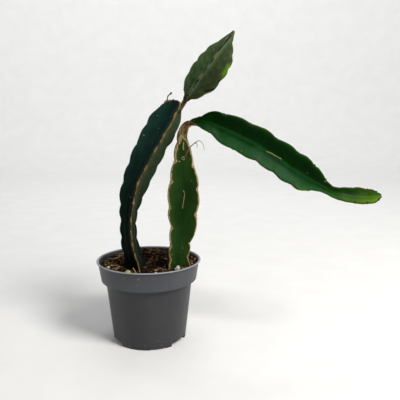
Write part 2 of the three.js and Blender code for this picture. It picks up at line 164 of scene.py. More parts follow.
LEFT_SHOOT = {
    "line": [
        (35.2, -4, 260.5), (38.4, -1.6, 266.5), (42.2, -0.6, 273), (46.6, -0.2, 280),
        (53.2, 0.4, 289), (62.8, 1.2, 300.8), (72, 2, 312.3), (80.8, 2.8, 324.4),
        (88.7, 3.5, 337.3), (96.6, 4, 349.4),
    ],
    "reach": [
        (0, 2.6), (16, 2.6), (21, 5), (26, 11.5), (33, 15.5), (43, 19.8), (56, 21.6), (70, 21.2),
        (82, 18.2), (90, 13.2), (98, 7.2), (105, 2.8), (111, 1),
    ],
    "turn": [(0, 0), (40, -4), (111, -4)],
    "ribs": [
        (-120, [25, 43, 60, 75, 91]),
        (0, [35, 50, 65, 89, 100]),
        (120, [37, 57, 73, 86, 97]),
    ],
    "notch": 2.1, "core": 4.2, "margin": 1.3, "rooted": False,
}
RIGHT_STEM = {
    "line": [
        (29, -14, 58), (33, -14.7, 88), (34.4, -14.1, 116), (39.6, -13.4, 136), (40.4, -13, 156),
        (41.3, -12.4, 180), (41.1, -12, 204), (40.1, -12, 226), (40.9, -12, 239.8), (44.2, -12, 247),
        (48.2, -12, 249.4),
    ],
    "reach": [
        (0, 11), (24, 14.2), (50, 14.4), (60, 15), (80, 17.2), (96, 19.2), (110, 20), (126, 19.6),
        (136, 17), (150, 13.6), (160, 11), (170, 8.7), (182, 6.3), (190, 4.5), (197, 3.8),
    ],
    "turn": [(0, 25), (58, 24), (75, 8), (95, 3), (197, 0)],
    "ribs": [
        (-60, [41, 56, 75, 100, 129, 152, 172]),
        (60, [43, 61, 92, 121, 146, 177]),
        (180, [46, 66, 84, 110, 137, 160]),
    ],
    "notch": 2.2, "core": 5.5, "margin": 1.5, "rooted": True,
}
RIGHT_BRANCH = {
    "line": [
        (48.5, -12, 249.4), (58, -12.9, 250.4), (70, -14.3, 248.6), (84, -15.8, 245.4),
        (100.5, -17.7, 238.2), (116, -19.6, 230.2), (130.5, -21.5, 221), (146, -23.4, 211),
        (160, -25.3, 201.2), (176, -27.2, 192.4), (190, -28.8, 184.8), (199.2, -30, 178.8),
    ],
    "reach": [
        (0, 3.8), (6, 5.2), (12, 8.4), (18, 12.8), (30, 16.8), (45, 19.6), (60, 20.8), (90, 20.2),
        (120, 20.6), (138, 19.8), (148, 16.6), (156, 12.2), (164, 8.4),
    ],
    "turn": [(0, -30), (20, -25), (35, 2), (60, 6), (85, -4), (130, -3), (150, 8), (171, 10)],
    "ribs": [
        (-60, [10, 34, 62, 92, 118, 142, 160]),
        (60, [24, 57, 87, 108, 129, 150]),
        (180, [16, 45, 74, 98, 124, 147, 163]),
    ],
    "notch": 2.2, "core": 5, "margin": 1.4, "rooted": False,
}
BRANCH_TIP = {
    "line": [
        (199.5, -30, 178.6), (204.5, -30.5, 175.6), (215, -31.1, 172.4), (228, -32, 170.4),
        (240, -33, 169.8), (248, -33.6, 171.2), (253.8, -34, 172.6),
    ],
    "reach": [(0, 6.4), (8, 7.3), (18, 10.2), (30, 11.6), (42, 11), (50, 8.5), (54, 5), (57, 2)],
    "turn": [(0, 10), (14, -25), (40, -38), (57, -35)],
    "ribs": [(-60, [22, 42, 52]), (60, [28, 40, 52]), (180, [17, 35, 49])],
    "notch": 1.4, "core": 3.6, "margin": 1.2,
}

# How far the cork reaches in from each rib's margin, at distances along the line
LEFT_STEM["cork"] = [
    [(0, 0.1), (190, 0.05), (215, 0.2), (226, 0.5), (230, 1.0)],
    [(0, 0.2), (40, 0.14), (60, 0.08), (170, 0.07), (200, 0.12), (222, 0.2), (230, 0.4)],
    [(0, -0.1), (215, 0.05), (226, 0.3), (230, 1.0)],
]
RIGHT_STEM["cork"] = [
    [(0, 0.5), (85, 0.6), (98, 0.8), (150, 0.9), (163, 2.4), (173, 3.2), (177, 4.0), (180, 5.4),
     (185, 14)],
    [(0, 0.4), (85, 0.5), (98, 0.7), (150, 0.7), (168, 1.0), (174, 1.8), (177, 3.2), (180, 5.0),
     (185, 14)],
    [(0, 0.7), (150, 0.7), (168, 1.4), (176, 3), (181, 6), (186, 14)],
]
LEFT_SHOOT["cork"] = [
    [(0, -1), (4, -1), (7, 2.1), (16, 2.1), (19, 1.3), (22, -0.3), (111, -0.4)],
    [(0, -1), (4, -1), (7, 2.1), (16, 2.1), (20, 1.5), (24, 0.4), (27, -0.4), (38, -0.4), (43, 0.04),
     (70, 0.05), (80, 0.12), (111, 0.3)],
    [(0, -1), (4, -1), (7, 2.1), (16, 2.1), (19, 1.3), (22, 0), (40, 0.5), (55, 0.2), (62, -0.4),
     (111, -0.4)],
]
RIGHT_BRANCH["cork"] = [
    [(0, 3), (2, 1.2), (6, -0.2), (12, -0.6), (171, -0.6)],
    [(0, 4), (3, 1.6), (8, 0.3), (14, -0.4), (171, -0.6)],
    [(0, 3), (2, 1.2), (6, -0.2), (12, -0.6), (171, -0.6)],
]

# How much further the cork reaches beside an areole
LEFT_STEM["patch"] = 0.35
RIGHT_STEM["patch"] = 1.5
LEFT_SHOOT["patch"] = 0.4
RIGHT_BRANCH["patch"] = 0.3

# Painted light and shade across each face, lighter where a face is turned to the light and darker where it
# is turned away, from one rib (0) over the valley (0.5) to the next rib (1)
# Hidden faces get painted shade in their valley
HIDDEN_FACE_SHADE = [(0, 0.0), (0.5, -0.5), (1, 0.0)]
LEFT_STEM["tone"] = [
    [(0, 0.0), (0.3, 0.1), (0.5, -0.1), (0.62, -0.35), (0.85, -0.3), (1, -0.1)],
    [(0, 1.25), (0.2, 1.1), (0.5, 0.75), (0.7, 0.6), (1, 0.5)],
    HIDDEN_FACE_SHADE,
]
LEFT_SHOOT["tone"] = [
    [(0, -0.1), (0.3, 0.1), (0.5, -0.1), (0.62, 0.2), (0.74, 0.8), (0.9, 1.2), (0.97, 1.2), (1, 0.6)],
    [(0, 0.4), (0.12, 0.4), (0.35, -0.2), (0.5, -0.7), (0.75, -0.75), (0.92, -0.6), (1, -0.3)],
    HIDDEN_FACE_SHADE,
]
RIGHT_STEM["tone"] = [
    [(0, 0.0), (0.3, 0.1), (0.5, -0.45), (0.6, 0.0), (0.8, 0.1), (1, 0.1)],
    HIDDEN_FACE_SHADE,
    HIDDEN_FACE_SHADE,
]
# The branch's front face has painted shade on its upper half and painted light on its lower half, with a
# painted highlight along the valley's ridge and a dark line beside it
RIGHT_BRANCH["tone"] = [
    [(0, 0.0), (0.08, -0.6), (0.2, -1.0), (0.44, -1.1), (0.49, 0.2), (0.53, 0.7), (0.57, -0.1),
     (0.7, 0.6), (0.9, 0.7), (1, 0.2)],
    HIDDEN_FACE_SHADE,
    HIDDEN_FACE_SHADE,
]

# Marks on the skins. A stroke is half of its width and the line it runs along, and a speck is a place.
LEFT_STEM_BURNS = [(0.9, [(36.6, -19, 273.5)])]
LEFT_STEM_SPECKS = [
    (16.3, -10.3, 263.3), (12.8, -9.9, 257.8), (27.7, -21, 256.7), (2.3, -9.7, 244.9),
    (14.2, -14.8, 243.9), (-16.7, -22, 169.5), (-1.1, -11.4, 230.3), (7.8, -18, 228.9), (-2.5, -9.8, 236.5),
]
RIGHT_STEM_SPECKS = [
    (48, -17.6, 210.4), (49.9, -19.1, 186.9), (54.3, -22.4, 152.2), (29.5, -21.9, 149),
    (40, -17.7, 110.9), (28.3, -24.1, 105), (33.3, -20.5, 96.3), (24.6, -25.6, 95),
    (37, -17.4, 208.2), (40.3, -17.5, 204.9),
]
RIGHT_STEM_SCARS = [
    (0.6, [(41.5, -16.6, 228.3), (41, -17, 224.5), (41.4, -17.2, 221.2)]),
    (2.0, [(41, -17.4, 211.6)]),
    (0.38, [(41, -18.2, 176.2), (42.6, -18.1, 172.9), (41.7, -18.3, 166.8), (40, -18.4, 156.1)]),
]
RIGHT_STEM_HOLES = [(1.1, [(40.8, -17.4, 211.4)])]
RIGHT_STEM_STAINS = [
    (1.6, [(43.8, -14.7, 248.4), (46.9, -14.6, 248.9)]),
    (0.7, [(45.2, -14.7, 234.7), (44.6, -14.7, 240.5)]),
    (0.9, [(42.6, -15, 244.5), (44.6, -14.7, 246.4)]),
]
BRANCH_SCARS = [
    (0.42, [(130.8, -26.7, 219.6), (135.6, -27.2, 218), (141, -27.6, 214.8), (146.8, -28.3, 211.7)]),
    (0.2, [(102.4, -23.1, 237.1), (109.9, -24, 233.5)]),
]
BRANCH_SPECKS = [(76.1, -20.6, 245.9), (174.4, -32.2, 197), (192.9, -34.4, 188.1)]
BRANCH_LIMES = [(1.6, [(158, -31, 185.5), (166.1, -36, 179.7), (176, -35, 176.5)])]
BRANCH_STAINS = [
    (1.5, [(48.5, -13.6, 250.9), (50.8, -15.7, 248.7)]), (0.8, [(52.9, -14.4, 252), (51.5, -15, 247)]),
]
SHOOT_BURNS = [
    (0.95, [(93.2, -0.4, 343.3), (87.4, -8, 335.9), (82, -13.5, 329.6), (78.5, -16.4, 325.3)]),
    (1.4, [(88.4, -7.4, 336.9)]), (1.4, [(72.2, -18.2, 314.8)]),
    (0.8, [(73.2, -18.4, 317.9), (71, -18.6, 312.8)]), (1.2, [(57.3, -18.1, 295.2), (53, -14.1, 288.1)]),
    (0.7, [(61.5, -19.3, 300.6), (66.6, -19.8, 307.6)]), (1.1, [(65, 4.5, 285.1), (76.3, 8.7, 287.6)]),
    (1.1, [(79.6, 8.3, 295.2), (83, 9.7, 297.5)]), (1.0, [(46.4, -3.2, 275.6)]),
    (0.8, [(43.6, -3.2, 277), (44.6, -3.2, 279)]), (0.9, [(42.4, -3.2, 271.2)]),
    (0.6, [(44, -3.2, 271.5)]),
]
SHOOT_LIMES = [(3.2, [(90.6, 8, 312.6), (89.6, 8.2, 308.3), (86.3, 9.1, 302.9)])]
SHOOT_STAINS = [(0.9, [(47, -3, 280.2), (48.8, -3, 282.4)])]

# The torn top of the left cutting: how far it stands up, from left to right
LEFT_CROWN = [
    (20, -0.9), (22.5, -0.4), (24.5, 0), (27, -0.2), (29, 1.1), (30.6, 2.0), (32.6, 1.0), (35, 0.9),
    (37.4, -0.4), (39.5, -1.8),
]
CROWN_DEPTH = 8  # over which the stem stretches up to it

# Just below that top the left rib is shorter and the front rib longer
LEFT_STEM["trim"] = [
    [(208, 1), (212, 0.97), (216, 0.89), (219, 0.85), (222, 0.83), (226, 0.93), (230, 1)],
    [(208, 1), (216, 1.04), (224, 1.2), (230, 1.36)],
    [(0, 1)],
]

# How much of its end is torn, which makes it corky
LEFT_STEM["torn"] = 0.9

# Dry parts and loose bits. A root's strand has its two radii and its line.
AERIAL_ROOT = [
    (0.6, 0.5, [
        (41.9, -15, 211.8), (43.6, -20, 214.6), (48, -21.8, 223), (52, -21.5, 227), (56, -20, 230),
    ]),
    (0.45, 0.2, [(54, -20.8, 228.6), (56.4, -20.6, 227), (55.9, -20.4, 223.2)]),
    (0.4, 0.16, [(55.4, -20.2, 229.6), (59, -20, 230.8), (62.4, -20.4, 227.4), (64.3, -21, 220.8)]),
]
DRIED_SPUR = [(24, -8.4, 272.4), (23.9, -8.4, 275.4), (24.4, -8.8, 278.4), (27.8, -9, 281.8)]
STRAW = [(-5.6, -49, 86.2), (-8, -47, 89.2), (-10.8, -44.2, 92.4), (-13, -42, 95)]
PERLITE = [  # x, y and size
    (35, -33.5, 2.8), (-44, -19, 1.6), (12, -44, 1.2), (35, 32, 1.4), (-30, 26, 1.3), (44, 20, 1.5),
]
PERLITE_LIFT = 0.45
BARK_CHIPS = [  # x, y, size and turn
    (11.5, -33, 3, 30), (-36, 6, 2.6, 110), (18, 12, 3.4, 60), (-8, 40, 2.8, 150),
]
LEAF_SCRAP = {
    "x": -18.2, "y": -44, "lift": 2.0, "radius": 3.9, "width": 3.4, "thickness": 0.9, "sheet": 0.3,
    "turn": 20, "tilt": 12,
}

# Lamps, in metres: place, aim, width, power and colour
LAMPS = {
    "key": ((0.85, -0.75, 1.15), (0.05, 0, 0.15), 0.6, 24, (1.0, 0.98, 0.95)),
    "fill": ((-1.1, -0.9, 0.7), (0.0, 0, 0.15), 1.0, 0.4, (0.85, 0.92, 1.0)),
    "wall": ((0.0, 0.8, 1.9), (0.0, 2.6, 0.7), 1.2, 22, (1.0, 1.0, 1.0)),
}
SKY_COLOUR = (0.95, 0.97, 1.0, 1)
SKY_STRENGTH = 0.25

# The floor reaches out to a wall that curves up from it
BACKDROP_SIDES = 96
BACKDROP_INNER = 40
BACKDROP_RADIUS = 1900
BACKDROP_CURVE = 700
BACKDROP_HEIGHT = 2600


# Numbers and noise

def cos_and_sin(degrees):
    return math.cos(math.radians(degrees)), math.sin(math.radians(degrees))


def unit(vectors):
    return vectors / np.linalg.norm(vectors, axis=-1, keepdims=True)


def look_up(table, distance):
    at, value = np.array(table, float).T
    return np.interp(distance, at, value)


def smooth_step(low, high, value):
    share = np.clip((value - low) / (high - low), 0, 1)
    return share * share * (3 - 2 * share)


# Smooth noise, mostly from -0.7 to 0.7, on a lattice one unit wide
def lattice_noise(points, seed):
    rng = np.random.default_rng(seed)
    order = rng.permutation(256)
    slopes = unit(rng.normal(size=(256, 3)))
    cell = np.floor(points).astype(int)
    local = points - cell
    fade = local ** 3 * (local * (local * 6 - 15) + 10)
    total = np.zeros(len(points))
    for corner in itertools.product((0, 1), repeat=3):
        x, y, z = ((cell + corner) & 255).T
        slope = slopes[order[(order[(order[x] + y) & 255] + z) & 255]]
        weight = np.prod(np.where(np.array(corner) == 1, fade, 1 - fade), axis=1)
        total += weight * np.sum(slope * (local - corner), axis=1)
    return total * 1.6


def fractal(points, size, octaves, seed):
    flat = np.asarray(points, float).reshape(-1, 3) / size
    total = np.zeros(len(flat))
    for octave in range(octaves):
        total += lattice_noise(flat * 2 ** octave, seed + octave) / 2 ** octave
    return total.reshape(np.shape(points)[:-1])


# Distance from each point to a line through a few places
def distance_to_line(points, line):
    best = np.full(points.shape[:-1], 1e9)
    places = [np.array(place, float) for place in line]
    if len(places) == 1:
        return np.linalg.norm(points - places[0], axis=-1)
    for start, end in zip(places, places[1:]):
        run = end - start
        share = np.clip((points - start) @ run / (run @ run), 0, 1)
        best = np.minimum(best, np.linalg.norm(points - start - share[..., None] * run, axis=-1))
    return best


# Curves

# Evenly spaced points along the centripetal Catmull-Rom curve through the given ones
def smooth_curve(points, count):
    places = [np.array(place, float) for place in points]
    places = [2 * places[0] - places[1], *places, 2 * places[-1] - places[-2]]
    dense = []
    for a, b, c, d in zip(places, places[1:], places[2:], places[3:]):
        ab, bc, cd = (max(np.linalg.norm(q - p) ** 0.5, 1e-6) for p, q in ((a, b), (b, c), (c, d)))
        leave = ((b - a) / ab - (c - a) / (ab + bc) + (c - b) / bc) * bc
        arrive = ((c - b) / bc - (d - b) / (bc + cd) + (d - c) / cd) * bc
        t = np.linspace(0, 1, 60, endpoint=False)[:, None]
        dense.append(b + leave * t + (3 * (c - b) - 2 * leave - arrive) * t ** 2
                     + (2 * (b - c) + leave + arrive) * t ** 3)
    dense = np.vstack([*dense, places[-2]])
    run = np.r_[0, np.cumsum(np.linalg.norm(np.diff(dense, axis=0), axis=1))]
    distance = np.linspace(0, run[-1], count)
    line = np.stack([np.interp(distance, run, dense[:, axis]) for axis in range(3)], 1)
    return distance, line, unit(np.gradient(line, axis=0))


def curve_length(points):
    return smooth_curve(points, 2)[0][-1]


# Meshes from grids of points

# Quads between rows of points, each row a closed ring
def ring_faces(rows, count):
    index = np.arange(rows * count).reshape(rows, count)
    near, far = index[:-1], index[1:]
    turned_near, turned_far = np.roll(near, -1, axis=1), np.roll(far, -1, axis=1)
    return np.stack([near, turned_near, turned_far, far], -1).reshape(-1, 4).tolist()


# A closed body through rings, with a middle point at each end
def closed_rings(rings):
    rows, count, _ = rings.shape
    points = np.vstack([rings.reshape(-1, 3), rings[0].mean(0), rings[-1].mean(0)])
    faces = ring_faces(rows, count)
    first, last = rows * count, rows * count + 1
    for i in range(count):
        j = (i + 1) % count
        faces.append([first, j, i])
        faces.append([last, (rows - 1) * count + i, (rows - 1) * count + j])
    return points, faces


def tube(line, radii, sides=8):
    line = np.asarray(line, float)
    tangent = unit(np.gradient(line, axis=0))
    helper = np.array([0.31, 0.87, 0.38])  # no tube runs along it
    side = unit(np.cross(tangent, helper))
    over = np.cross(tangent, side)
    turn = np.linspace(0, 2 * np.pi, sides, endpoint=False)
    ring = side[:, None] * np.cos(turn)[:, None] + over[:, None] * np.sin(turn)[:, None]
    radii = np.asarray(radii, float)
    radii = radii[:, None, None] if radii.ndim == 1 else radii[..., None]
    return closed_rings(line[:, None] + ring * radii)


def sphere_points(subdivisions):
    made = bmesh.new()
    bmesh.ops.create_icosphere(made, subdivisions=subdivisions, radius=1)
    points = np.array([v.co for v in made.verts])
    faces = [[v.index for v in face.verts] for face in made.faces]
    made.free()
    return points, faces


def merged(shapes):
    points, faces, start = [], [], 0
    for shape_points, shape_faces in shapes:
        points.append(shape_points)
        faces.extend([[i + start for i in face] for face in shape_faces])
        start += len(shape_points)
    return np.vstack(points), faces


def make_object(name, points, faces, materials, values=None, sharp=None, material_of=None):
    mesh = bpy.data.meshes.new(name)
    mesh.from_pydata((np.asarray(points) * MM).tolist(), [], faces)
    for key, data in (values or {}).items():
        data = np.asarray(data, np.float32)
        kind, field = ("FLOAT_VECTOR", "vector") if data.ndim == 2 else ("FLOAT", "value")
        mesh.attributes.new(key, kind, "POINT").data.foreach_set(field, data.ravel())
    for material in materials:
        mesh.materials.append(material)
    if material_of is not None:
        mesh.polygons.foreach_set("material_index", np.asarray(material_of, np.int32))
    mesh.shade_smooth()
    if sharp is not None:
        mesh.set_sharp_from_angle(angle=math.radians(sharp))
    mesh.update()
    made = bpy.data.objects.new(name, mesh)
    bpy.context.scene.collection.objects.link(made)
    return made


def belongs(piece, slot, *nodes):
    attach(piece, "root")
    if nodes:
        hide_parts(*nodes)
    return piece


# Shader building

def colour(red, green, blue):
    def linear(value):
        share = value / 255
        return share / 12.92 if share <= 0.04045 else ((share + 0.055) / 1.055) ** 2.4
    return (linear(red), linear(green), linear(blue), 1.0)


# A value in a shader. Sums, differences, products and quotients of values are written as such.
class Value:
    def __init__(self, shader, socket):
        self.shader = shader
        self.socket = socket

    def __add__(self, other):
        return self.shader.math("ADD", self, other)

    def __radd__(self, other):
        return self.shader.math("ADD", other, self)

    def __sub__(self, other):
        return self.shader.math("SUBTRACT", self, other)

    def __mul__(self, other):
        return self.shader.math("MULTIPLY", self, other)

    def __truediv__(self, other):
        return self.shader.math("DIVIDE", self, other)


# The sizes of noise, cells and specks are in millimetres
class Shader:
    def __init__(self, name):
        self.material = bpy.data.materials.new(name)
        self.material.use_nodes = True
        self.tree = self.material.node_tree
        self.tree.nodes.clear()

    # A node and its outputs, by the names that are asked for
    def node(self, kind, settings, sockets, *outputs):
        made = self.tree.nodes.new("ShaderNode" + kind)
        for key, value in settings.items():
            setattr(made, key, value)
        for key, value in sockets.items():
            if isinstance(value, Value):
                self.tree.links.new(value.socket, made.inputs[key])
            else:
                made.inputs[key].default_value = value
        values = [Value(self, made.outputs[output]) for output in outputs]
        return values[0] if len(values) == 1 else values

    def attribute(self, name, output="Fac"):
        return self.node("Attribute", {"attribute_name": name}, {}, output)

    def place(self):
        return self.node("TexCoord", {}, {}, "Object")

    def stretched(self, vector, scale):
        return self.node("Mapping", {}, {"Vector": vector, "Scale": scale}, 0)

    def parts(self, vector):
        return self.node("SeparateXYZ", {}, {"Vector": vector}, "X", "Y", "Z")

    def noise(self, size, detail=3.0, roughness=0.55, vector=None, distortion=0.0):
        return self.node("TexNoise", {}, {
            "Vector": vector or self.place(), "Scale": 1 / (size * MM), "Detail": detail,
            "Roughness": roughness, "Distortion": distortion,
        }, "Fac")

    def cells(self, size, *outputs):
        return self.node("TexVoronoi", {}, {"Vector": self.place(), "Scale": 1 / (size * MM)}, *outputs)

    def math(self, operation, first, second=0.0):
        return self.node("Math", {"operation": operation}, {0: first, 1: second}, 0)

    def larger(self, first, second):
        return self.math("MAXIMUM", first, second)

    def step(self, value, low, high, start=0.0, end=1.0):
        return self.node("MapRange", {"interpolation_type": "SMOOTHSTEP"}, {
            "Value": value, "From Min": low, "From Max": high, "To Min": start, "To Max": end,
        }, 0)

    def mix(self, share, first, second):
        return self.node("Mix", {"data_type": "RGBA"}, {"Factor": share, 6: first, 7: second}, 2)

    def ramp(self, value, stops):
        shade = self.node("ValToRGB", {}, {"Fac": value}, "Color")
        elements = shade.socket.node.color_ramp.elements
        while len(elements) < len(stops):
            elements.new(0.5)
        for element, (position, stop_colour) in zip(elements, stops):
            element.position = position
            element.color = stop_colour
        return shade

    # Specks in cells, and each cell's own chance, which sets its speck's width
    def specks(self, size, width, low, high):
        tint, distance = self.cells(size, "Color", "Distance")
        chance = self.node("SeparateColor", {}, {"Color": tint}, 0)
        return self.step(chance * width - distance, low, high), chance

    # height is in millimetres
    def finish(self, base, roughness, height=None, **fixed):
        sockets = {"Base Color": base, "Roughness": roughness}
        sockets.update({key.replace("_", " "): value for key, value in fixed.items()})
        if height is not None:
            relief = {"Height": height, "Distance": MM, "Strength": 1.0}
            sockets["Normal"] = self.node("Bump", {}, relief, 0)
        surface = self.node("BsdfPrincipled", {}, sockets, 0)
        self.node("OutputMaterial", {}, {"Surface": surface})
        return self.material


# Winged stems

def bow(areoles, distance, length):
    stops = np.array([0, *areoles, length + END_STEP], float)
    after = np.clip(np.searchsorted(stops, distance, side="right"), 1, len(stops) - 1)
    share = (distance - stops[after - 1]) / (stops[after] - stops[after - 1])
    return np.sin(np.pi * np.clip(share, 0, 1) ** BOW_LAG) ** BOW_FULLNESS


# A size that is the same all along, or given at distances along the line
def size_at(size, distance):
    return look_up(size, distance) if isinstance(size, list) else size


# One growth that runs on into another
def joined(first, second):
    start = curve_length(first["line"])

    def both(key):
        return first[key] + [(start + at, value) for at, value in second[key]]

    def changing(key):
        return [(0, first[key]), (start - JOIN_BEFORE, first[key]), (start + JOIN_AFTER, second[key])]

    ribs = []
    for (angle, near), (_, far) in zip(first["ribs"], second["ribs"]):
        ribs.append((angle, near + [start + stop for stop in far]))
    return {
        **first, "line": first["line"][:-1] + second["line"], "reach": both("reach"), "turn": both("turn"),
        "ribs": ribs, "notch": changing("notch"), "core": changing("core"), "margin": changing("margin"),
    }


def wing_length(growth, areoles, distance, length):
    reach = look_up(growth["reach"], distance)
    dip = np.minimum(size_at(growth["notch"], distance), reach * NOTCH_SHARE)
    if growth["rooted"]:
        dip = np.where(distance < HOLE_TOP, 0, dip)
    return reach - dip * (1 - bow(areoles, distance, length))


def frames_across(tangent):
    front = unit(np.array([0, -1.0, 0]) + tangent[:, 1:2] * tangent)
    return front, np.cross(tangent, front)


# Half of a wing's section, from a valley to the margin: out from the line, and across
def half_section(growth, distance, wing, thicker):
    valley = np.minimum(size_at(growth["core"], distance), wing * VALLEY_SHARE)
    half = np.minimum(size_at(growth["margin"], distance), wing * MARGIN_SHARE) + thicker
    cos, sin = cos_and_sin(RIB_SPREAD)
    start = np.stack([valley * cos, valley * sin], -1)
    end = np.stack([wing - half, half], -1)
    span = np.linalg.norm(end - start, axis=-1)[:, None]
    leave = start + np.array([sin, -cos]) * span * VALLEY_PULL
    arrive = end - np.array([1, 0]) * span * EDGE_PULL
    t = np.linspace(0, 1, SIDE_POINTS, endpoint=False)[:, None, None]
    side = ((1 - t) ** 3 * start + 3 * t * (1 - t) ** 2 * leave + 3 * t ** 2 * (1 - t) * arrive
            + t ** 3 * end)
    turn = np.linspace(0, np.pi / 2, EDGE_POINTS)[:, None]
    edge = np.stack([wing - half + half * np.sin(turn), half * np.cos(turn)], -1)
    return np.concatenate([side, edge]).transpose(1, 0, 2)


# How far the cork reaches in along a rib's margin, with a patch of it beside each areole
def cork_reach(growth, number, distance, rng):
    stops = np.array(growth["ribs"][number][1])
    sizes = rng.uniform(*PATCH_SIZES, len(stops))
    patches = sizes * np.exp(-((distance[:, None] - stops) / PATCH_LENGTH) ** 2)
    return look_up(growth["cork"][number], distance) + growth["patch"] * patches.max(axis=1)


# One wing's section at every ring: out from the line, across it, and in from the margin
def wing_section(growth, number, distance, length, seed):
    stops = growth["ribs"][number][1]
    wing = wing_length(growth, stops, distance, length)
    if "trim" in growth:
        wing = wing * look_up(growth["trim"][number], distance)
    nearest = np.min(np.abs(distance[:, None] - np.array(stops)), axis=1)
    thicker = SWELLING * np.exp(-(nearest / SWELLING_LENGTH) ** 2) * smooth_step(4, 9, wing)
    half = half_section(growth, distance, wing, thicker)
    other = half[:, -2:0:-1]
    out = np.concatenate([half[..., 0], other[..., 0]], 1)
    across = np.concatenate([-half[..., 1], other[..., 1]], 1)
    along = np.stack([distance, distance * 0, distance * 0 + number * 9], -1)
    sway = SWAY * fractal(along, SWAY_LENGTH, 2, seed)
    across = across + sway[:, None] * (out / wing[:, None]) ** 2 * smooth_step(6, 14, wing)[:, None]
    return out, across, wing[:, None] - out


# The tones of painted light and shade at a wing's points, from the face before it on the one side to the
# face after it on the other
def painted_light_on_wing(growth, number, depth):
    inward = 0.5 * depth / depth.max(axis=1)[:, None]
    rising = np.arange(depth.shape[1]) < SIDE_POINTS + EDGE_POINTS
    before, after = growth["tone"][number - 1], growth["tone"][number]
    return np.where(rising, look_up(before, 1 - inward), look_up(after, inward))


# Where a wing's points would be if the growth were straight and not turned
def unbent(angle, out, across, distance):
    cos, sin = cos_and_sin(angle)
    return np.stack([out * cos - across * sin, out * sin + across * cos, distance[:, None] + out * 0], -1)


# Rings of points along a growth, with what the shader needs to know at each point
def grow(growth, seed):
    rng = np.random.default_rng(seed)
    length = curve_length(growth["line"])
    distance, line, tangent = smooth_curve(growth["line"], round(length / STATION) + 1)
    front, right = frames_across(tangent)
    turn = look_up(growth["turn"], distance)
    parts = {"rings": [], "depth": [], "cork": [], "tone": [], "straight": []}
    for number, (angle, _) in enumerate(growth["ribs"]):
        out, across, depth = wing_section(growth, number, distance, length, seed)
        radial = np.radians(angle + turn)[:, None]
        away = front * np.cos(radial) + right * np.sin(radial)
        beside = right * np.cos(radial) - front * np.sin(radial)
        reached = line[:, None] + away[:, None] * out[..., None]
        parts["rings"].append(reached + beside[:, None] * across[..., None])
        parts["depth"].append(depth)
        parts["cork"].append(cork_reach(growth, number, distance, rng)[:, None] + depth * 0)
        parts["tone"].append(painted_light_on_wing(growth, number, depth))
        parts["straight"].append(unbent(angle, out, across, distance))
    grown = {key: np.concatenate(data, 1) for key, data in parts.items()}
    grown.update(line=line, tangent=tangent, distance=distance, length=length)
    ragged = np.minimum(1.1, np.abs(grown["cork"]) * 0.35 + 0.15)
    grown["cork"] = grown["cork"] + ragged * fractal(grown["rings"], 4.5, 3, seed + 20) - grown["depth"]
    if "torn" in growth:
        uneven = 0.6 * fractal(grown["rings"], 3, 2, seed + 25)
        torn = distance[:, None] - length + growth["torn"] + uneven
        grown["cork"] = np.maximum(grown["cork"], torn)
    return grown


def outward(rings):
    round_way = np.roll(rings, -1, axis=1) - np.roll(rings, 1, axis=1)
    normal = np.cross(round_way, np.gradient(rings, axis=0))
    return normal / np.maximum(np.linalg.norm(normal, axis=-1), 1e-9)[..., None]


# Low waves, a dimpled skin and proud, broken cork
def roughen(grown, seed):
    rings = grown["rings"]
    waves = WAVE_HEIGHT * fractal(rings, WAVE_SIZE, 2, seed + 30)
    stretched = grown["straight"] * np.array([1, 1, 0.25])
    wrinkles = WRINKLE_HEIGHT * fractal(stretched, WRINKLE_SIZE, 2, seed + 35)
    crust = CRUST_HEIGHT * (0.6 + np.abs(fractal(rings, CRUST_SIZE, 3, seed + 40)) * 1.6)
    thick = smooth_step(-0.3, 0.5, grown["cork"])
    fade = smooth_step(2, 7, np.linalg.norm(grown["straight"][..., :2], axis=-1).max(axis=1))[:, None]
    grown["rings"] = rings + outward(rings) * (waves * fade + wrinkles + crust * thick)[..., None]


# Rows that close an end: they draw in to the middle, over a rough face
def closing_rows(ring, tangent, steps, lift, seed):
    middle = ring.mean(0)
    rows = []
    for step in range(1, steps + 1):
        share = step / steps
        row = middle + (ring - middle) * (1 - share * 0.97)
        rough = fractal(row, 5, 3, seed) * END_ROUGHNESS * math.sin(math.pi * min(share, 0.5))
        rows.append(row + tangent * (lift * math.sin(share * math.pi / 2) + rough)[:, None])
    return np.array(rows)


# The last stretch pulled up or down, from left to right
def crown(grown, heights):
    share = smooth_step(grown["length"] - CROWN_DEPTH, grown["length"], grown["distance"])
    lift = look_up(heights, grown["rings"][..., 0]) * share[:, None]
    grown["rings"] = grown["rings"] + lift[..., None] * grown["tangent"][:, None]


SKIN_VALUES = ("depth", "cork", "tone", "scar", "hole", "burn", "stain", "lime", "speck")


def close_ends(grown, start_lift, end_lift, end_cork, seed):
    rings, tangent = grown["rings"], grown["tangent"]
    before = closing_rows(rings[0], -tangent[0], START_ROWS, start_lift, seed)[::-1]
    after = closing_rows(rings[-1], tangent[-1], END_ROWS, end_lift, seed + 1)
    for key in (*SKIN_VALUES, "straight"):
        data = grown[key]
        head = np.repeat(data[:1], len(before), 0)
        tail = np.repeat(data[-1:], len(after), 0)
        if key == "cork":
            tail = np.maximum(tail, end_cork)
        grown[key] = np.concatenate([head, data, tail])
    grown["rings"] = np.concatenate([before, rings, after])


# How far inside the strokes each point lies
def inside_strokes(points, strokes):
    inside = np.full(points.shape[:-1], -5.0)
    for half_width, line in strokes:
        inside = np.maximum(inside, half_width - distance_to_line(points, line))
    return inside


# Marks are strokes of each kind, and the holes among them are dents
def mark(grown, marks):
    for kind in ("scar", "hole", "burn", "stain", "lime"):
        grown[kind] = inside_strokes(grown["rings"], marks.get(kind, ()))
    dots = [(0.3 + 0.25 * (number % 3), [place]) for number, place in enumerate(marks.get("speck", ()))]
    grown["speck"] = inside_strokes(grown["rings"], dots)
    relief = SCAR_HEIGHT * smooth_step(-0.3, 0.3, grown["scar"])
    relief = relief - HOLE_DEPTH * smooth_step(-0.3, 0.4, grown["hole"])
    grown["rings"] = grown["rings"] + outward(grown["rings"]) * relief[..., None]


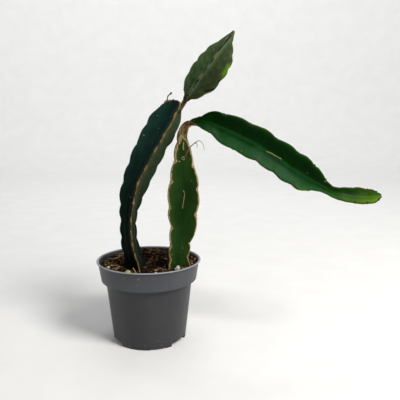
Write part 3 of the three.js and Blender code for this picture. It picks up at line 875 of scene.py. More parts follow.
# youth and shade are given at distances along the line, and heights are the crown's
def skin(name, growth, material, seed, start_lift=0.4, end_lift=0.4, end_cork=0, youth=((0, 0),),
         shade=((0, 0),), heights=None, **marks):
    grown = grow(growth, seed)
    roughen(grown, seed)
    if heights:
        crown(grown, heights)
    mark(grown, marks)
    close_ends(grown, start_lift, end_lift, end_cork, seed)
    points, faces = closed_rings(grown["rings"])
    values = {}
    for key in SKIN_VALUES:
        data = grown[key]
        values[key] = np.r_[data.ravel(), data[0].mean(), data[-1].mean()]
    straight = grown["straight"]
    straight = np.vstack([straight.reshape(-1, 3), straight[0].mean(0), straight[-1].mean(0)])
    values["straight"] = straight * MM
    values["youth"] = look_up(youth, straight[:, 2])
    values["shade"] = look_up(shade, straight[:, 2])
    return make_object(name, points, faces, [material], values)


# Areoles: a felted cushion in each notch, with a few short spines

def cushion(centre, out, along, size, rng):
    points, faces = sphere_points(2)
    across = np.cross(along, out)
    bumps = 1 + 0.25 * fractal(points + rng.uniform(0, 50, 3), 0.7, 2, 5)
    local = points * bumps[:, None] * size * CUSHION_FORM
    return centre + local @ np.array([along, across, out]), faces


def spine(root, way, length, radius):
    share = np.linspace(0, 1, 5)
    droop = np.array([0, 0, -SPINE_DROOP]) * length
    line = root + way * (share * length)[:, None] + droop * (share ** 2)[:, None]
    return tube(line, radius * (1 - share) ** 0.8 + 0.02, 5)


# Each pad has from the first to one less than the second number of spines
def areoles(name, growth, materials, seed, size, spines):
    rng = np.random.default_rng(seed)
    grown = grow(growth, seed)
    length = grown["length"]
    distance = np.linspace(0, length, len(grown["line"]))
    front, right = frames_across(grown["tangent"])
    per_rib = grown["rings"].shape[1] // len(growth["ribs"])
    shapes, kinds = [], []
    for number, (angle, stops) in enumerate(growth["ribs"]):
        for stop in stops:
            if growth["rooted"] and stop < HOLE_TOP + 4:
                continue
            row = int(np.argmin(np.abs(distance - stop)))
            radial = math.radians(angle + look_up(growth["turn"], stop))
            out = front[row] * math.cos(radial) + right[row] * math.sin(radial)
            along = grown["tangent"][row]
            across = np.cross(along, out)
            edge = grown["rings"][row, number * per_rib + SIDE_POINTS + EDGE_POINTS - 1]
            grown_size = size * rng.uniform(0.8, 1.2)
            pad = cushion(edge - out * 0.15 * grown_size, out, along, grown_size, rng)
            shapes.append(pad)
            kinds.extend([0] * len(pad[1]))
            for _ in range(rng.integers(*spines)):
                lean = across * rng.normal(0, 0.55) + along * rng.normal(0.25, 0.45)
                way = unit(out + lean)
                one = spine(edge + way * 0.2, way, rng.uniform(*SPINE_LENGTHS), rng.uniform(*SPINE_RADII))
                shapes.append(one)
                kinds.extend([1] * len(one[1]))
    points, faces = merged(shapes)
    return make_object(name, points, faces, materials, material_of=kinds)


# Materials of the plant

WARM_CORK = [
    (0.25, colour(58, 38, 22)), (0.42, colour(104, 78, 44)), (0.6, colour(138, 108, 66)),
    (0.8, colour(168, 140, 98)),
]
PALE_CORK = [
    (0.3, colour(46, 35, 22)), (0.42, colour(94, 79, 51)), (0.56, colour(146, 128, 88)),
    (0.75, colour(188, 171, 136)),
]
DARK_CORK = [
    (0.38, colour(10, 8, 7)), (0.5, colour(34, 27, 19)), (0.6, colour(104, 86, 58)),
    (0.8, colour(150, 130, 94)),
]
SCAR_STOPS = [(0.35, colour(86, 73, 52)), (0.52, colour(142, 127, 98)), (0.7, colour(182, 168, 140))]
STAIN_STOPS = [(0.35, colour(28, 16, 10)), (0.5, colour(66, 40, 22)), (0.66, colour(112, 78, 44))]
SPECK_COLOUR = colour(150, 138, 100)
LIME_COLOUR = colour(92, 128, 16)
SCAR_RIM_COLOUR = colour(14, 24, 10)
BURN_COLOUR = colour(14, 10, 8)


# Pale and dark rays that slant out from a growth's line
def slanting_rays(shader, straight, green, bright, deep, strength):
    out, sideways, along = shader.parts(straight)
    slant = along - shader.math("ABSOLUTE", sideways) * 1.3
    aslant = shader.node("CombineXYZ", {}, {"X": slant, "Y": along * 0.12, "Z": out}, 0)
    rays = shader.noise(4.2, 3, 0.5, aslant)
    green = shader.mix(shader.step(rays, 0.5, 0.72, 0.0, strength), green, bright)
    return shader.mix(shader.step(rays, 0.48, 0.3, 0.0, strength), green, deep)


# The green of the faces. deep, middle and rim run from a valley out to the margin, and light and shadow
# are the painted light and painted shade that the tones and the shade lead to; light is also the pale of
# the veins and rays. Where a growth is young, it has young and not these greens, and young_light and not
# light.
def face_colour(shader, straight, patchy, fine, veins, deep, middle, rim, light, shadow, young,
                young_light, margin, margin_share, slanting=0.0):
    depth = shader.attribute("depth")
    broad = shader.noise(26, 2)
    valley = shader.mix(shader.step(broad, 0.35, 0.65), middle, deep)
    green = shader.mix(shader.step(depth + patchy * 5.0, 2.0, 12.0), rim, valley)
    fresh = shader.step(shader.attribute("youth") + patchy * 0.1, 0.05, 1.05)
    green = shader.mix(fresh, green, young)
    bright = shader.mix(fresh, light, young_light)
    green = shader.mix(shader.step(veins, 0.5, 0.7, 0.0, 0.15), green, bright)
    if slanting:
        green = slanting_rays(shader, straight, green, bright, deep, slanting)
    green = shader.mix(shader.step(fine, 0.45, 0.75, 0.0, 0.2), green, rim)
    green = shader.mix(shader.step(fine, 0.5, 0.25, 0.0, 0.3), green, deep)
    # Painted light and shade: the tone, in random patches, lightens lit parts of a face towards light and
    # darkens shaded parts towards shadow, and the shade attribute adds painted shade along the line
    mottled_painted_light = shader.attribute("tone") + (patchy - 0.5) * 0.7
    green = shader.mix(shader.step(mottled_painted_light, 0.0, 1.15), green, bright)
    dark = shader.attribute("shade") + shader.step(mottled_painted_light, 0.05, -1.0, 0.0, 0.8)
    dark = shader.math("MINIMUM", dark, 0.94) * shader.step(fresh, 0.0, 1.0, 1.0, 0.5)
    green = shader.mix(dark, green, shadow)
    lime = shader.step(shader.attribute("lime") + patchy * 5.0, 0.8, 6.0)
    green = shader.mix(lime * 0.75, green, LIME_COLOUR)
    edge = shader.step(depth + patchy * 0.8, 0.6, 1.1, margin_share, 0.0)
    return shader.mix(edge, green, margin)


# Scars, cork, stains and burns over the green, with where cork and scars are and how rough they are
def marked_colour(shader, straight, green, cork):
    ragged = (shader.noise(1.3, 5, 0.7) - 0.5) * 1.5
    corky = shader.step(shader.attribute("cork") + ragged, -0.08, 0.15)
    scar_edge = shader.attribute("scar") + ragged * 0.5
    scarred = shader.step(scar_edge, -0.08, 0.1)
    burnt = shader.step(shader.attribute("burn") + ragged * 1.2, -0.3, 0.4)
    burnt = shader.larger(burnt, shader.step(shader.attribute("hole"), -0.1, 0.25))
    stained = shader.step(shader.attribute("stain") + ragged * 2.2, -0.5, 0.5)
    fibres = shader.noise(1.2, 5, 0.65, shader.stretched(straight, (1, 1, 0.14)))
    crumbs = shader.noise(1.1, 5, 0.65)
    grain = fibres * 0.65 + crumbs * 0.35
    broad_cork = shader.step(shader.attribute("cork"), 1.2, 3.5, 0.54, 0.4)
    base = shader.mix(shader.step(scar_edge, -0.6, -0.1) * 0.55, green, SCAR_RIM_COLOUR)
    base = shader.mix(scarred, base, shader.ramp(crumbs, SCAR_STOPS))
    base = shader.mix(corky, base, shader.ramp((grain - 0.5) * 1.5 + broad_cork, cork))
    base = shader.mix(stained * 0.85, base, shader.ramp(crumbs, STAIN_STOPS))
    base = shader.mix(burnt * 0.92, base, BURN_COLOUR)
    return base, shader.larger(corky, scarred), grain


def skin_material(name, cork, speck_share, roughness=0.5, **face):
    shader = Shader(name)
    straight = shader.attribute("straight", "Vector")
    patchy = shader.noise(5, 4)
    fine = shader.noise(0.8, 4, 0.65)
    veins = shader.noise(1.6, 3, 0.55, shader.stretched(straight, (1, 1, 0.12)))
    green = face_colour(shader, straight, patchy, fine, veins, **face)
    speck, chance = shader.specks(8, 0.06, -0.02, 0.015)
    speck = speck * shader.step(chance, 1 - speck_share, 1.0)
    speck = shader.larger(speck, shader.step(shader.attribute("speck"), -0.1, 0.15))
    green = shader.mix(speck * 0.8, green, SPECK_COLOUR)
    base, dry, grain = marked_colour(shader, straight, green, cork)
    dry = shader.larger(dry, speck)
    rough = roughness - 0.06 + patchy * 0.12 + dry * 0.35
    height = fine * 0.06 + grain * 0.8 * dry + veins * 0.04
    return shader.finish(base, rough, height, Specular_IOR_Level=0.04)


# Two shades mixed by one noise: edge is where the ramp between them starts
def two_shades(name, dark, light, size=1.2, detail=5, uneven=0.65, edge=0.35, roughness=0.88, bump=0.2,
               **fixed):
    shader = Shader(name)
    grain = shader.noise(size, detail, uneven)
    base = shader.ramp(grain, [(edge, dark), (1 - edge, light)])
    return shader.finish(base, roughness, grain * bump, **fixed)


def felt_material(name, dark, light):
    return two_shades(name, dark, light, size=0.35, detail=4, uneven=0.7, edge=0.3, roughness=0.95,
                      bump=0.25, Sheen_Weight=0.3)


def spine_material(name, dark, light):
    return two_shades(name, dark, light, size=0.9, detail=3, uneven=0.6, roughness=0.55, bump=0.05)


# Materials of the pot and the mix

# Splashes of mix, most of them low on the wall, and the smudges
def pot_dirt(shader, place, height):
    splash, _ = shader.specks(4.5, 0.22, -0.02, 0.03)
    low = shader.step(height, 26.0, 4.0)
    gathered = shader.step(shader.noise(14, 3) + low * 0.25, 0.62, 0.72)
    smudged = None
    for smudge in SMUDGES:
        centre = tuple(np.array(smudge) * MM)
        away = shader.node("VectorMath", {"operation": "DISTANCE"}, {0: place, 1: centre}, "Value")
        close = shader.step(away / MM, SMUDGE_RADIUS, 0.0)
        smudged = shader.larger(smudged, close) if smudged else close
    smudged = shader.step(smudged * shader.noise(1.2, 4, 0.7), 0.2, 0.42)
    return shader.larger(splash * gathered, smudged)


# Plain grey, darker under the collar as painted shade and under the lip as a painted shadow, and bright
# along the lip's edge as a painted highlight
def pot_colour_and_painted_shading(shader, height, grain, dusty, dirt):
    broad = shader.noise(38, 3)
    base = shader.ramp(broad, [(0.3, colour(60, 62, 68)), (0.7, colour(71, 73, 77))])
    base = shader.mix(shader.step(grain, 0.35, 0.7, 0.0, 0.12), base, colour(92, 94, 96))
    base = shader.mix(shader.step(dusty, 0.52, 0.75) * 0.25, base, colour(98, 95, 89))
    base = shader.mix(dirt, base, colour(158, 136, 102))
    # Painted shade: the whole body below the collar is darkened, as if in shade
    body = shader.step(height, COLLAR_BOTTOM + 1, COLLAR_BOTTOM - 1, 0.0, 0.55)
    base = shader.mix(body, base, colour(36, 34, 34))
    # Painted shadow: a dark line just under the lip
    from_lip = shader.math("ABSOLUTE", height - (POT_HEIGHT - LIP_HEIGHT))
    base = shader.mix(shader.step(from_lip, 0.9, 0.1, 0.0, 0.5), base, colour(34, 34, 37))
    # Painted highlight: the lip's top edge is lighter, where it would catch the light
    edge = shader.step(height, POT_HEIGHT - 1.3, POT_HEIGHT - 0.7, 0.0, 0.85)
    return shader.mix(edge, base, colour(148, 151, 155))


def pot_material():
    shader = Shader("grey_plastic")
    place = shader.place()
    height = shader.parts(place)[2] / MM
    grain = shader.noise(0.7, 3, 0.6)
    dusty = shader.noise(5, 5, 0.65, distortion=0.6)
    dirt = pot_dirt(shader, place, height)
    base = pot_colour_and_painted_shading(shader, height, grain, dusty, dirt)
    pit = shader.step(shader.cells(7, "Distance"), 0.06, 0.035)
    base = shader.mix(pit * 0.6, base, colour(58, 48, 40))
    scratches = shader.noise(9, 5, 0.6, shader.stretched(place, (1, 1, 12)))
    rough = dusty * 0.16 + 0.36 + dirt * 0.35
    bump = grain * 0.035 + dirt * 0.25 + shader.step(scratches, 0.62, 0.7) * 0.02
    return shader.finish(base, rough, bump, Specular_IOR_Level=0.25)


MIX_STOPS = [
    (0.0, colour(8, 5, 4)), (0.3, colour(26, 16, 11)), (0.48, colour(62, 41, 28)),
    (0.62, colour(112, 84, 58)), (0.78, colour(164, 134, 98)), (0.94, colour(208, 190, 160)),
]


# spread: how much the noise counts beside a crumb's own tone. lift: how much lighter it makes them.
def mix_material(name, spread, lift):
    shader = Shader(name)
    mottle = shader.noise(1.1, 5, 0.65)
    base = shader.ramp(shader.attribute("tone") * (1 - spread) + (mottle + lift) * spread, MIX_STOPS)
    return shader.finish(base, 0.95, mottle * 0.4, Specular_IOR_Level=0.05)


def perlite_material():
    shader = Shader("perlite")
    depth = shader.step(shader.cells(0.55, "Distance"), 0.1, 0.6)
    stain = shader.noise(1.8, 4)
    base = shader.ramp(stain, [(0.35, colour(196, 176, 152)), (0.6, colour(236, 230, 222))])
    base = shader.mix(shader.step(depth, 0.6, 0.1) * 0.35, base, colour(150, 120, 96))
    return shader.finish(base, 0.9, depth * 0.3)


def scrap_material():
    shader = Shader("leaf_scrap")
    spots = shader.noise(1.6, 4, 0.6)
    base = shader.ramp(spots, [
        (0.35, colour(104, 128, 60)), (0.6, colour(158, 178, 104)), (0.8, colour(176, 160, 96)),
    ])
    return shader.finish(base, 0.6, spots * 0.15)


# Pot

def wall_at(height):
    return FOOT_RADIUS + (SHOULDER_RADIUS - FOOT_RADIUS) * height / COLLAR_BOTTOM


def collar_at(height):
    rise = (height - COLLAR_BOTTOM) / (POT_HEIGHT - LIP_HEIGHT - COLLAR_BOTTOM)
    return COLLAR_RADIUS + (RIM_RADIUS - LIP_RUN - COLLAR_RADIUS) * rise


# A profile through corners (radius, height, rounding)
def rounded(corners, steps=5):
    places = [np.array(corner[:2], float) for corner in corners]
    profile = [places[0]]
    for before, here, after, (_, _, rounding) in zip(places, places[1:], places[2:], corners[1:-1]):
        start = here + unit(before - here) * rounding
        end = here + unit(after - here) * rounding
        for t in np.linspace(0, 1, steps):
            profile.append(start * (1 - t) ** 2 + here * 2 * t * (1 - t) + end * t ** 2)
    profile.append(places[-1])
    return np.array(profile)


# Rings around the axis through a profile of radii and heights
def rings_around(profile, sides):
    turn = np.linspace(0, 2 * np.pi, sides, endpoint=False)
    radius, height = np.asarray(profile, float).T[:, :, None]
    return np.stack([radius * np.cos(turn), radius * np.sin(turn), height + turn * 0], -1)


# A closed body from a profile that starts and ends on the axis
def turned(profile, sides):
    points, faces = closed_rings(rings_around(profile[1:-1], sides))
    points[-2] = (0, 0, profile[0][1])
    points[-1] = (0, 0, profile[-1][1])
    return points, faces


def sector(inner, outer, centre, width, bottom, top, steps=8):
    turn = np.radians(np.linspace(centre - width / 2, centre + width / 2, steps + 1))
    near = np.stack([inner * np.cos(turn), inner * np.sin(turn)], -1)
    far = np.stack([outer * np.cos(turn), outer * np.sin(turn)], -1)[::-1]
    outline = np.vstack([near, far])
    count = len(outline)
    low = np.hstack([outline, np.full((count, 1), bottom)])
    high = np.hstack([outline, np.full((count, 1), top)])
    faces = [[i, (i + 1) % count, count + (i + 1) % count, count + i][::-1] for i in range(count)]
    for i in range(steps):
        a, b, c, d = i, i + 1, count - 2 - i, count - 1 - i
        faces.append([a, b, c, d])
        faces.append([count + d, count + c, count + b, count + a])
    return np.vstack([low, high]), faces


def arch_angles(shift=0):
    return [ARCH_FIRST + shift + i * 360 / ARCHES for i in range(ARCHES)]


def combine(target, kind, shapes, material):
    points, faces = merged(shapes)
    tool = make_object("cutter", points, faces, [material])
    step = target.modifiers.new(kind, "BOOLEAN")
    step.operation = kind
    step.solver = "EXACT"
    step.object = tool
    graph = bpy.context.evaluated_depsgraph_get()
    target.data = bpy.data.meshes.new_from_object(target.evaluated_get(graph))
    target.modifiers.clear()
    bpy.data.objects.remove(tool)


# Half of the pot's section, from the middle of its base up the outside and down the inside
def pot_profile():
    lip_bottom = POT_HEIGHT - LIP_HEIGHT
    ledge = COLLAR_BOTTOM + WALL
    return rounded([
        (0, 0, 0), (FOOT_RADIUS, 0, 0.8), (SHOULDER_RADIUS, COLLAR_BOTTOM, 0.5),
        (COLLAR_RADIUS, COLLAR_BOTTOM, 0.7), (collar_at(lip_bottom), lip_bottom, 0.5),
        (RIM_RADIUS, lip_bottom, 0.8), (RIM_RADIUS, POT_HEIGHT, 0.9),
        (RIM_RADIUS - LIP_RUN, POT_HEIGHT, 0.7), (collar_at(lip_bottom) - WALL, lip_bottom, 0.6),
        (collar_at(ledge) - WALL, ledge, 0.5), (wall_at(ledge) - WALL, ledge, 0.5),
        (wall_at(FLOOR) - WALL, FLOOR, 0.6), (0, FLOOR, 0),
    ])


# Arched feet with a roofed channel in each, notches between them, and a drain hole through each roof
def make_pot():
    material = pot_material()
    made = make_object("pot_shell", *turned(pot_profile(), POT_SIDES), [material])
    roof = ARCH_HEIGHT + CHANNEL_ROOF
    wider = ARCH_WIDTH + 2 * math.degrees(WALL / DRAIN_CENTRE)
    roofs, channels, notches, drains = [], [], [], []
    for angle in arch_angles():
        roofs.append(sector(CHANNEL_START - WALL, FOOT_RADIUS - WALL / 2, angle, wider, FLOOR / 2, roof))
        channels.append(sector(CHANNEL_START, RIM_RADIUS, angle, ARCH_WIDTH, -WALL, ARCH_HEIGHT))
        x, y = DRAIN_CENTRE * np.array(cos_and_sin(angle))
        drains.append(tube([(x, y, FLOOR), (x, y, roof + FLOOR)], [DRAIN_RADIUS] * 2, 32))
    for angle in arch_angles(NOTCH_TURN):
        notches.append(sector(NOTCH_START, RIM_RADIUS, angle, NOTCH_WIDTH, -WALL, NOTCH_HEIGHT))
    combine(made, "UNION", roofs, material)
    for holes in (channels, notches, drains):
        combine(made, "DIFFERENCE", holes, material)
    made.data.shade_smooth()
    made.data.set_sharp_from_angle(angle=math.radians(POT_SHARP))
    return belongs(made, "pot", "pot")


# Potting mix

def soil_height(x, y):
    level = SOIL_LEVEL + SOIL_RISE[0] * x + SOIL_RISE[1] * y
    waves = [high * np.sin(by_x * x + by_y * y + phase) for high, by_x, by_y, phase in SOIL_WAVES]
    return level + sum(waves)


def soil_edge(height):
    return collar_at(height) - WALL - SOIL_GAP


def soil_bed(material):
    edge = soil_edge(SOIL_LEVEL - 3)
    ledge = COLLAR_BOTTOM + WALL
    inner = wall_at(ledge) - WALL - SOIL_GAP
    low = rings_around([
        (wall_at(SOIL_BOTTOM) - WALL - SOIL_GAP, SOIL_BOTTOM), (inner, ledge + SOIL_GAP),
        (collar_at(ledge) - WALL - SOIL_GAP, ledge + SOIL_GAP),
    ], SOIL_SIDES)
    top = rings_around([(radius, 0) for radius in np.linspace(edge, 0.4, SOIL_RINGS)], SOIL_SIDES)
    lumps = 0.9 * np.abs(fractal(top, 5.5, 2, 70)) + 0.5 * fractal(top, 1.6, 3, 75)
    top[..., 2] = soil_height(top[..., 0], top[..., 1]) - SOIL_BED_DEPTH + lumps
    points, faces = closed_rings(np.concatenate([low, top]))
    tones = np.full(len(points), SOIL_BED_TONE)
    return make_object("soil_bed", points, faces, [material], {"tone": tones})


# Random places on the mix, evenly spread and clear of the two stems
def places_on_soil(count, rng, margin):
    spots = []
    edge = soil_edge(SOIL_LEVEL - 2) - margin
    feet = [np.array(growth["line"][1][:2], float) for growth in (LEFT_STEM, RIGHT_STEM)]
    while len(spots) < count:
        radius = edge * math.sqrt(rng.uniform())
        turn = rng.uniform(0, 2 * math.pi)
        spot = np.array([radius * math.cos(turn), radius * math.sin(turn)])
        if min(np.linalg.norm(spot - foot) for foot in feet) > STEM_CLEARANCE:
            spots.append(spot)
    return np.array(spots)


def turned_randomly(points, rng):
    w, x, y, z = unit(rng.normal(size=4))
    spin = np.array([
        [1 - 2 * (y * y + z * z), 2 * (x * y - z * w), 2 * (x * z + y * w)],
        [2 * (x * y + z * w), 1 - 2 * (x * x + z * z), 2 * (y * z - x * w)],
        [2 * (x * z - y * w), 2 * (y * z + x * w), 1 - 2 * (x * x + y * y)],
    ])
    return points @ spin.T


def lump(size, form, rng, subdivisions, rough):
    points, faces = sphere_points(subdivisions)
    bumps = 1 + rough * fractal(points + rng.uniform(0, 90, 3), 0.8, 2, 11)
    return turned_randomly(points * bumps[:, None] * np.array(form), rng) * size, faces


# More pale bits lie at the left, a few more at the right and along the front
def littered(x, y):
    return max(smooth_step(-24, -40, x), 0.5 * smooth_step(32, 48, x), 0.35 * smooth_step(-30, -42, y))


def soil_crumbs(material):
    rng = np.random.default_rng(12)
    shapes, tones = [], []
    for count, low, high, subdivisions in CRUMBS:
        for x, y in places_on_soil(count, rng, high):
            size = rng.uniform(low, high)
            form = (1, rng.uniform(0.45, 1), rng.uniform(0.3, 0.8))
            points, faces = lump(size, form, rng, subdivisions, rough=0.5)
            rise = soil_height(x, y) - 0.35 + size * rng.uniform(-0.1, 0.45)
            shapes.append((points + np.array([x, y, rise]), faces))
            pale = rng.uniform() < PALE_CRUMBS + PALE_LITTER * littered(x, y)
            tone = rng.uniform(0.45, 0.95) if pale else 0.5 * rng.beta(1.2, 2.8)
            tones.append(np.full(len(points), tone))
    points, faces = merged(shapes)
    return make_object("soil_crumbs", points, faces, [material], {"tone": np.concatenate(tones)}, sharp=50)


def soil_fibres(material):
    rng = np.random.default_rng(31)
    shapes, tones = [], []
    for x, y in places_on_soil(FIBRES, rng, 3):
        length = rng.uniform(2.5, 9)
        turn = rng.uniform(0, 2 * math.pi)
        bend = rng.normal(0, 0.5)
        t = np.linspace(-0.5, 0.5, 8)
        px = x + length * (t * math.cos(turn) - bend * (t ** 2 - 0.08) * math.sin(turn))
        py = y + length * (t * math.sin(turn) + bend * (t ** 2 - 0.08) * math.cos(turn))
        limit = soil_edge(SOIL_LEVEL - 2) - 0.5
        away = np.maximum(np.hypot(px, py) / limit, 1)
        px, py = px / away, py / away
        lift = rng.uniform(0.1, 0.9) - 2.2 * t ** 2 * rng.uniform(-0.4, 1) + t * rng.normal(0, 1)
        line = np.stack([px, py, soil_height(px, py) + np.clip(lift, -0.2, 1.6)], -1)
        radius = rng.uniform(0.09, 0.26)
        points, faces = tube(line, radius * (1.05 - (2 * t) ** 4 * 0.7), 5)
        shapes.append((points, faces))
        tones.append(np.full(len(points), rng.beta(2.6, 2.6) + 0.25 * littered(x, y)))
    points, faces = merged(shapes)
    return make_object("soil_fibres", points, faces, [material], {"tone": np.concatenate(tones)})


def make_soil():
    belongs(soil_bed(mix_material("mix_bed", 0.75, -0.32)), "soil", "soil")
    belongs(soil_crumbs(mix_material("mix_crumbs", 0.35, 0.0)), "soil")
    belongs(soil_fibres(mix_material("mix_fibres", 0.25, 0.05)), "soil")


# Small loose things

def settled(points, x, y, lift=0.3):
    return points + np.array([x, y, soil_height(x, y) + lift])


def spun(points, turn):
    cos, sin = cos_and_sin(turn)
    return points @ np.array([[cos, sin, 0], [-sin, cos, 0], [0, 0, 1]])


def make_loose():
    rng = np.random.default_rng(77)
    white = perlite_material()
    for number, (x, y, size) in enumerate(PERLITE, 1):
        points, faces = lump(size, (1, 0.9, 0.85), rng, 4, rough=0.45)
        placed = settled(points, x, y, 0.3 + PERLITE_LIFT * size)
        made = make_object(f"perlite_grain_{number}", placed, faces, [white])
        belongs(made, "perlite", f"perlite_{number}")
    brown = two_shades("bark", colour(46, 28, 17), colour(118, 80, 50), size=1.4)
    tan = two_shades("pale_bark", colour(92, 64, 38), colour(186, 150, 104), size=1.4)
    for number, (x, y, size, turn) in enumerate(BARK_CHIPS, 1):
        points, faces = sphere_points(4)
        bumps = 1 + 0.35 * fractal(points * np.array([0.5, 1, 1]) + number * 7, 0.6, 3, 19)
        boxy = np.sign(points) * np.abs(points) ** 0.6 * bumps[:, None]
        shaped = boxy * np.array([1, 0.45, 0.4]) * size * 0.85
        placed = settled(spun(shaped, turn), x, y)
        material = tan if number == 1 else brown
        made = make_object(f"bark_piece_{number}", placed, faces, [material], sharp=45)
        belongs(made, "bark", f"bark_chip_{number}")


# Faces of a thin body whose far sheet's points follow its near sheet's, both in a grid of this form
def sheet_faces(form):
    index = np.arange(form[0] * form[1]).reshape(form)
    count = index.size
    quads = np.stack([index[:-1, :-1], index[1:, :-1], index[1:, 1:], index[:-1, 1:]], -1)
    quads = quads.reshape(-1, 4)
    faces = quads[:, ::-1].tolist() + (quads + count).tolist()
    border = [*index[:, 0], *index[-1, 1:], *index[-2::-1, -1], *index[0, -2:0:-1]]
    for a, b in zip(border, border[1:] + border[:1]):
        faces.append([int(a), int(b), int(b) + count, int(a) + count])
    return faces


# A scrap of leaf that has curled into an arch, with one torn side
def make_scrap():
    size, width, thickness, sheet = (LEAF_SCRAP[key] for key in ("radius", "width", "thickness", "sheet"))
    bend, across = np.meshgrid(np.linspace(0, np.pi, 33), np.linspace(-1, 1, 15), indexing="ij")
    half_width = width / 2 * (0.55 + 0.45 * np.sin(bend) ** 0.7) * (1 - 0.25 * np.cos(bend))
    rough = 0.15 * fractal(np.stack([bend * size, across * 2, bend * 0], -1), 1.6, 2, 8)
    radius = size - thickness / 2 - 2.6 * ((1 - across) / 2) ** 2.5 + rough
    half_thick = sheet * (1 - np.abs(across) ** 6 * 0.7)
    sheets = []
    for far in (radius + half_thick, radius - half_thick):
        bent = np.stack([far * np.cos(bend), across * half_width, far * np.sin(bend)], -1)
        sheets.append(bent.reshape(-1, 3))
    cos, sin = cos_and_sin(LEAF_SCRAP["tilt"])
    points = np.vstack(sheets) @ np.array([[cos, 0, sin], [0, 1, 0], [-sin, 0, cos]])
    points = spun(points, LEAF_SCRAP["turn"])
    placed = settled(points, LEAF_SCRAP["x"], LEAF_SCRAP["y"], LEAF_SCRAP["lift"])
    made = make_object("leaf_fragment", placed, sheet_faces(bend.shape), [scrap_material()])
    return belongs(made, "leaf_scrap", "leaf_scrap")


# A dry strand that narrows from one radius to another
def strand(start_radius, end_radius, route, seed, knobbly=0.2, sides=8):
    count = max(12, round(curve_length(route) / 0.35))
    _, line, _ = smooth_curve(route, count)
    rough = 1 + knobbly * fractal(line, 0.9, 3, seed)
    line = line + 0.12 * np.stack([fractal(line + shift, 2.5, 2, seed) for shift in (3, 6, 9)], -1)
    return tube(line, np.linspace(start_radius, end_radius, count) * rough, sides)


def make_root():
    shapes = [strand(start, end, route, 40 + i) for i, (start, end, route) in enumerate(AERIAL_ROOT)]
    points, faces = merged(shapes)
    material = two_shades("dry_root", colour(52, 28, 24), colour(122, 86, 58), size=1.6)
    made = make_object("aerial_root_strands", points, faces, [material])
    return belongs(made, "dry_root", "aerial_root")


def make_spur():
    rng = np.random.default_rng(9)
    knob, knob_faces = lump(1.25, (1, 0.9, 0.85), rng, 3, rough=0.4)
    foot, foot_faces = lump(1.9, (1.2, 1, 0.9), rng, 3, rough=0.4)
    shapes = [
        strand(0.75, 0.6, DRIED_SPUR, 51, knobbly=0.35),
        (knob + np.array(DRIED_SPUR[-1]), knob_faces),
        (foot + np.array(DRIED_SPUR[0]) + np.array([-0.6, -1.0, 0.4]), foot_faces),
    ]
    points, faces = merged(shapes)
    material = two_shades("dry_spur", colour(26, 15, 14), colour(98, 64, 48), size=1.8)
    return belongs(make_object("dried_spur_twig", points, faces, [material]), "cork", "dried_spur")


def make_straw():
    points, faces = strand(0.5, 0.35, STRAW, 61, knobbly=0.15, sides=6)
    material = two_shades("straw", colour(140, 104, 60), colour(206, 178, 126), size=1.0)
    return belongs(make_object("straw_splinter", points, faces, [material], sharp=40), "straw", "straw")


# The plant

# A growth is a skin with its areoles
def make_growth(name, nodes, growth, material, pads, seed, size, spines, **looks):
    belongs(skin(name + "_skin", growth, material, seed, **looks), name, *nodes)
    belongs(areoles(name + "_areoles", growth, pads, seed + 1, size, spines), name)


def make_left_stem(pads):
    material = skin_material(
        "left_stem", deep=colour(10, 32, 28), middle=colour(18, 46, 41), rim=colour(28, 57, 49),
        light=colour(66, 76, 42), shadow=colour(0, 10, 4), young=colour(60, 90, 50),
        young_light=colour(60, 90, 50), margin=colour(44, 44, 26), cork=WARM_CORK, margin_share=0.5,
        speck_share=0.4)
    make_growth(
        "left_stem", ["left_stem"], LEFT_STEM, material, pads, 100, size=0.8, spines=(1, 4),
        end_lift=0.3, end_cork=3.0, heights=LEFT_CROWN,
        shade=((0, 0.95), (60, 0.9), (100, 0.75), (130, 0.5), (160, 0.25), (190, 0.05), (210, 0)),
        burn=LEFT_STEM_BURNS, speck=LEFT_STEM_SPECKS)


def make_left_shoot(pads):
    material = skin_material(
        "left_shoot", deep=colour(36, 54, 26), middle=colour(51, 76, 40), rim=colour(62, 90, 44),
        light=colour(98, 110, 84), shadow=colour(30, 30, 18), young=colour(86, 102, 66),
        young_light=colour(112, 124, 98), margin=colour(54, 50, 26), cork=DARK_CORK, margin_share=0.35,
        speck_share=0.1, slanting=0.45)
    make_growth(
        "left_shoot", ["left_shoot"], LEFT_SHOOT, material, pads, 200, size=0.6, spines=(1, 3),
        youth=((0, 0), (50, 0.1), (90, 0.5), (111, 0.8)), shade=((0, 0.9), (12, 0.75), (24, 0.2), (34, 0)),
        burn=SHOOT_BURNS, lime=SHOOT_LIMES, stain=SHOOT_STAINS)


def make_right_stem(pads):
    material = skin_material(
        "right_stem", deep=colour(14, 40, 6), middle=colour(25, 51, 14), rim=colour(38, 59, 18),
        light=colour(44, 64, 40), shadow=colour(8, 30, 6), young=colour(50, 84, 36),
        young_light=colour(50, 84, 36), margin=colour(54, 54, 24), cork=PALE_CORK, margin_share=0.4,
        speck_share=0.35)
    make_growth(
        "right_stem", ["right_stem"], RIGHT_STEM, material, pads, 300, size=0.9, spines=(1, 4),
        end_lift=1.0, end_cork=3.0, scar=RIGHT_STEM_SCARS, hole=RIGHT_STEM_HOLES,
        stain=RIGHT_STEM_STAINS, speck=RIGHT_STEM_SPECKS)


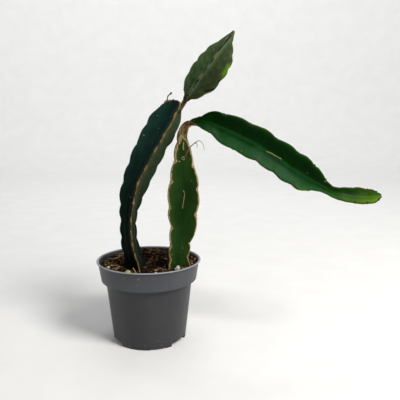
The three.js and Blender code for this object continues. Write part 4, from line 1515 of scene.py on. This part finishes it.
# The branch and its tip are one skin, because no seam shows between them
def make_right_branch(pads):
    whole_branch = joined(RIGHT_BRANCH, BRANCH_TIP)
    material = skin_material(
        "right_branch", deep=colour(2, 38, 4), middle=colour(6, 48, 10), rim=colour(18, 64, 8),
        light=colour(28, 68, 36), shadow=colour(0, 28, 0), young=colour(50, 86, 4),
        young_light=colour(98, 126, 34), margin=colour(60, 70, 18), cork=DARK_CORK, margin_share=0.55,
        speck_share=0.08, roughness=0.44)
    make_growth(
        "right_branch", ["right_branch", "branch_tip"], whole_branch, material, pads, 400, size=1.45,
        spines=(1, 3), start_lift=1.0, end_lift=0.8,
        youth=((0, 0.2), (14, 0), (130, 0.0), (165, 0.15), (200, 0.5), (214, 0.85), (222, 1.15)),
        shade=((0, 0.8), (14, 0.7), (34, 0.25), (55, 0)), scar=BRANCH_SCARS, lime=BRANCH_LIMES,
        stain=BRANCH_STAINS, speck=BRANCH_SPECKS)


# Felt and spines are brown on the old stems and nearly black on the younger growths
def make_plant():
    old_pads = [
        felt_material("old_felt", colour(48, 30, 18), colour(132, 98, 62)),
        spine_material("old_spine", colour(60, 42, 28), colour(140, 112, 80)),
    ]
    dark_pads = [
        felt_material("dark_felt", colour(6, 5, 5), colour(26, 22, 18)),
        spine_material("dark_spine", colour(16, 13, 12), colour(60, 48, 36)),
    ]
    make_left_stem(old_pads)
    make_left_shoot(dark_pads)
    make_right_stem(old_pads)
    make_right_branch(dark_pads)


# Studio

def make_backdrop():
    shader = Shader("backdrop")
    base = shader.ramp(shader.noise(60, 2), [(0.3, colour(236, 236, 235)), (0.7, colour(240, 240, 239))])
    material = shader.finish(base, 0.9)
    profile = [(radius, 0) for radius in np.linspace(BACKDROP_INNER, BACKDROP_RADIUS, 14)]
    for bend in np.linspace(0, np.pi / 2, 16)[1:]:
        out, up = math.sin(bend), 1 - math.cos(bend)
        profile.append((BACKDROP_RADIUS + BACKDROP_CURVE * out, BACKDROP_CURVE * up))
    profile.append((BACKDROP_RADIUS + BACKDROP_CURVE, BACKDROP_HEIGHT))
    points = rings_around(profile, BACKDROP_SIDES).reshape(-1, 3)
    faces = ring_faces(len(profile), BACKDROP_SIDES) + [list(range(BACKDROP_SIDES))[::-1]]
    make_object("backdrop", points, faces, [material])


def make_lamp(name, place, aim, size, power, tint):
    data = bpy.data.lights.new(name, "AREA")
    data.shape = "DISK"
    data.size = size
    data.energy = power
    data.color = tint
    lamp = bpy.data.objects.new(name, data)
    bpy.context.scene.collection.objects.link(lamp)
    lamp.location = place
    lamp.rotation_mode = "QUATERNION"
    lamp.rotation_quaternion = (Vector(aim) - Vector(place)).to_track_quat("-Z", "Y")


def make_studio():
    make_backdrop()
    for name, values in LAMPS.items():
        make_lamp(name, *values)
    world = bpy.data.worlds.new("studio")
    world.use_nodes = True
    sky = world.node_tree.nodes["Background"]
    sky.inputs["Color"].default_value = SKY_COLOUR
    sky.inputs["Strength"].default_value = SKY_STRENGTH
    bpy.context.scene.world = world
    bpy.context.scene.view_settings.view_transform = "Standard"


def make_camera():
    data = bpy.data.cameras.new("camera")
    data.lens = CAMERA_LENS
    data.sensor_width = CAMERA_SENSOR
    camera = bpy.data.objects.new("camera", data)
    bpy.context.scene.collection.objects.link(camera)
    camera.location = CAMERA_PLACE
    camera.rotation_euler = (math.radians(90 - CAMERA_PITCH), 0, 0)
    bpy.context.scene.camera = camera


make_camera()
make_pot()
make_soil()
make_loose()
make_scrap()
make_root()
make_spur()
make_straw()
make_plant()
make_studio()
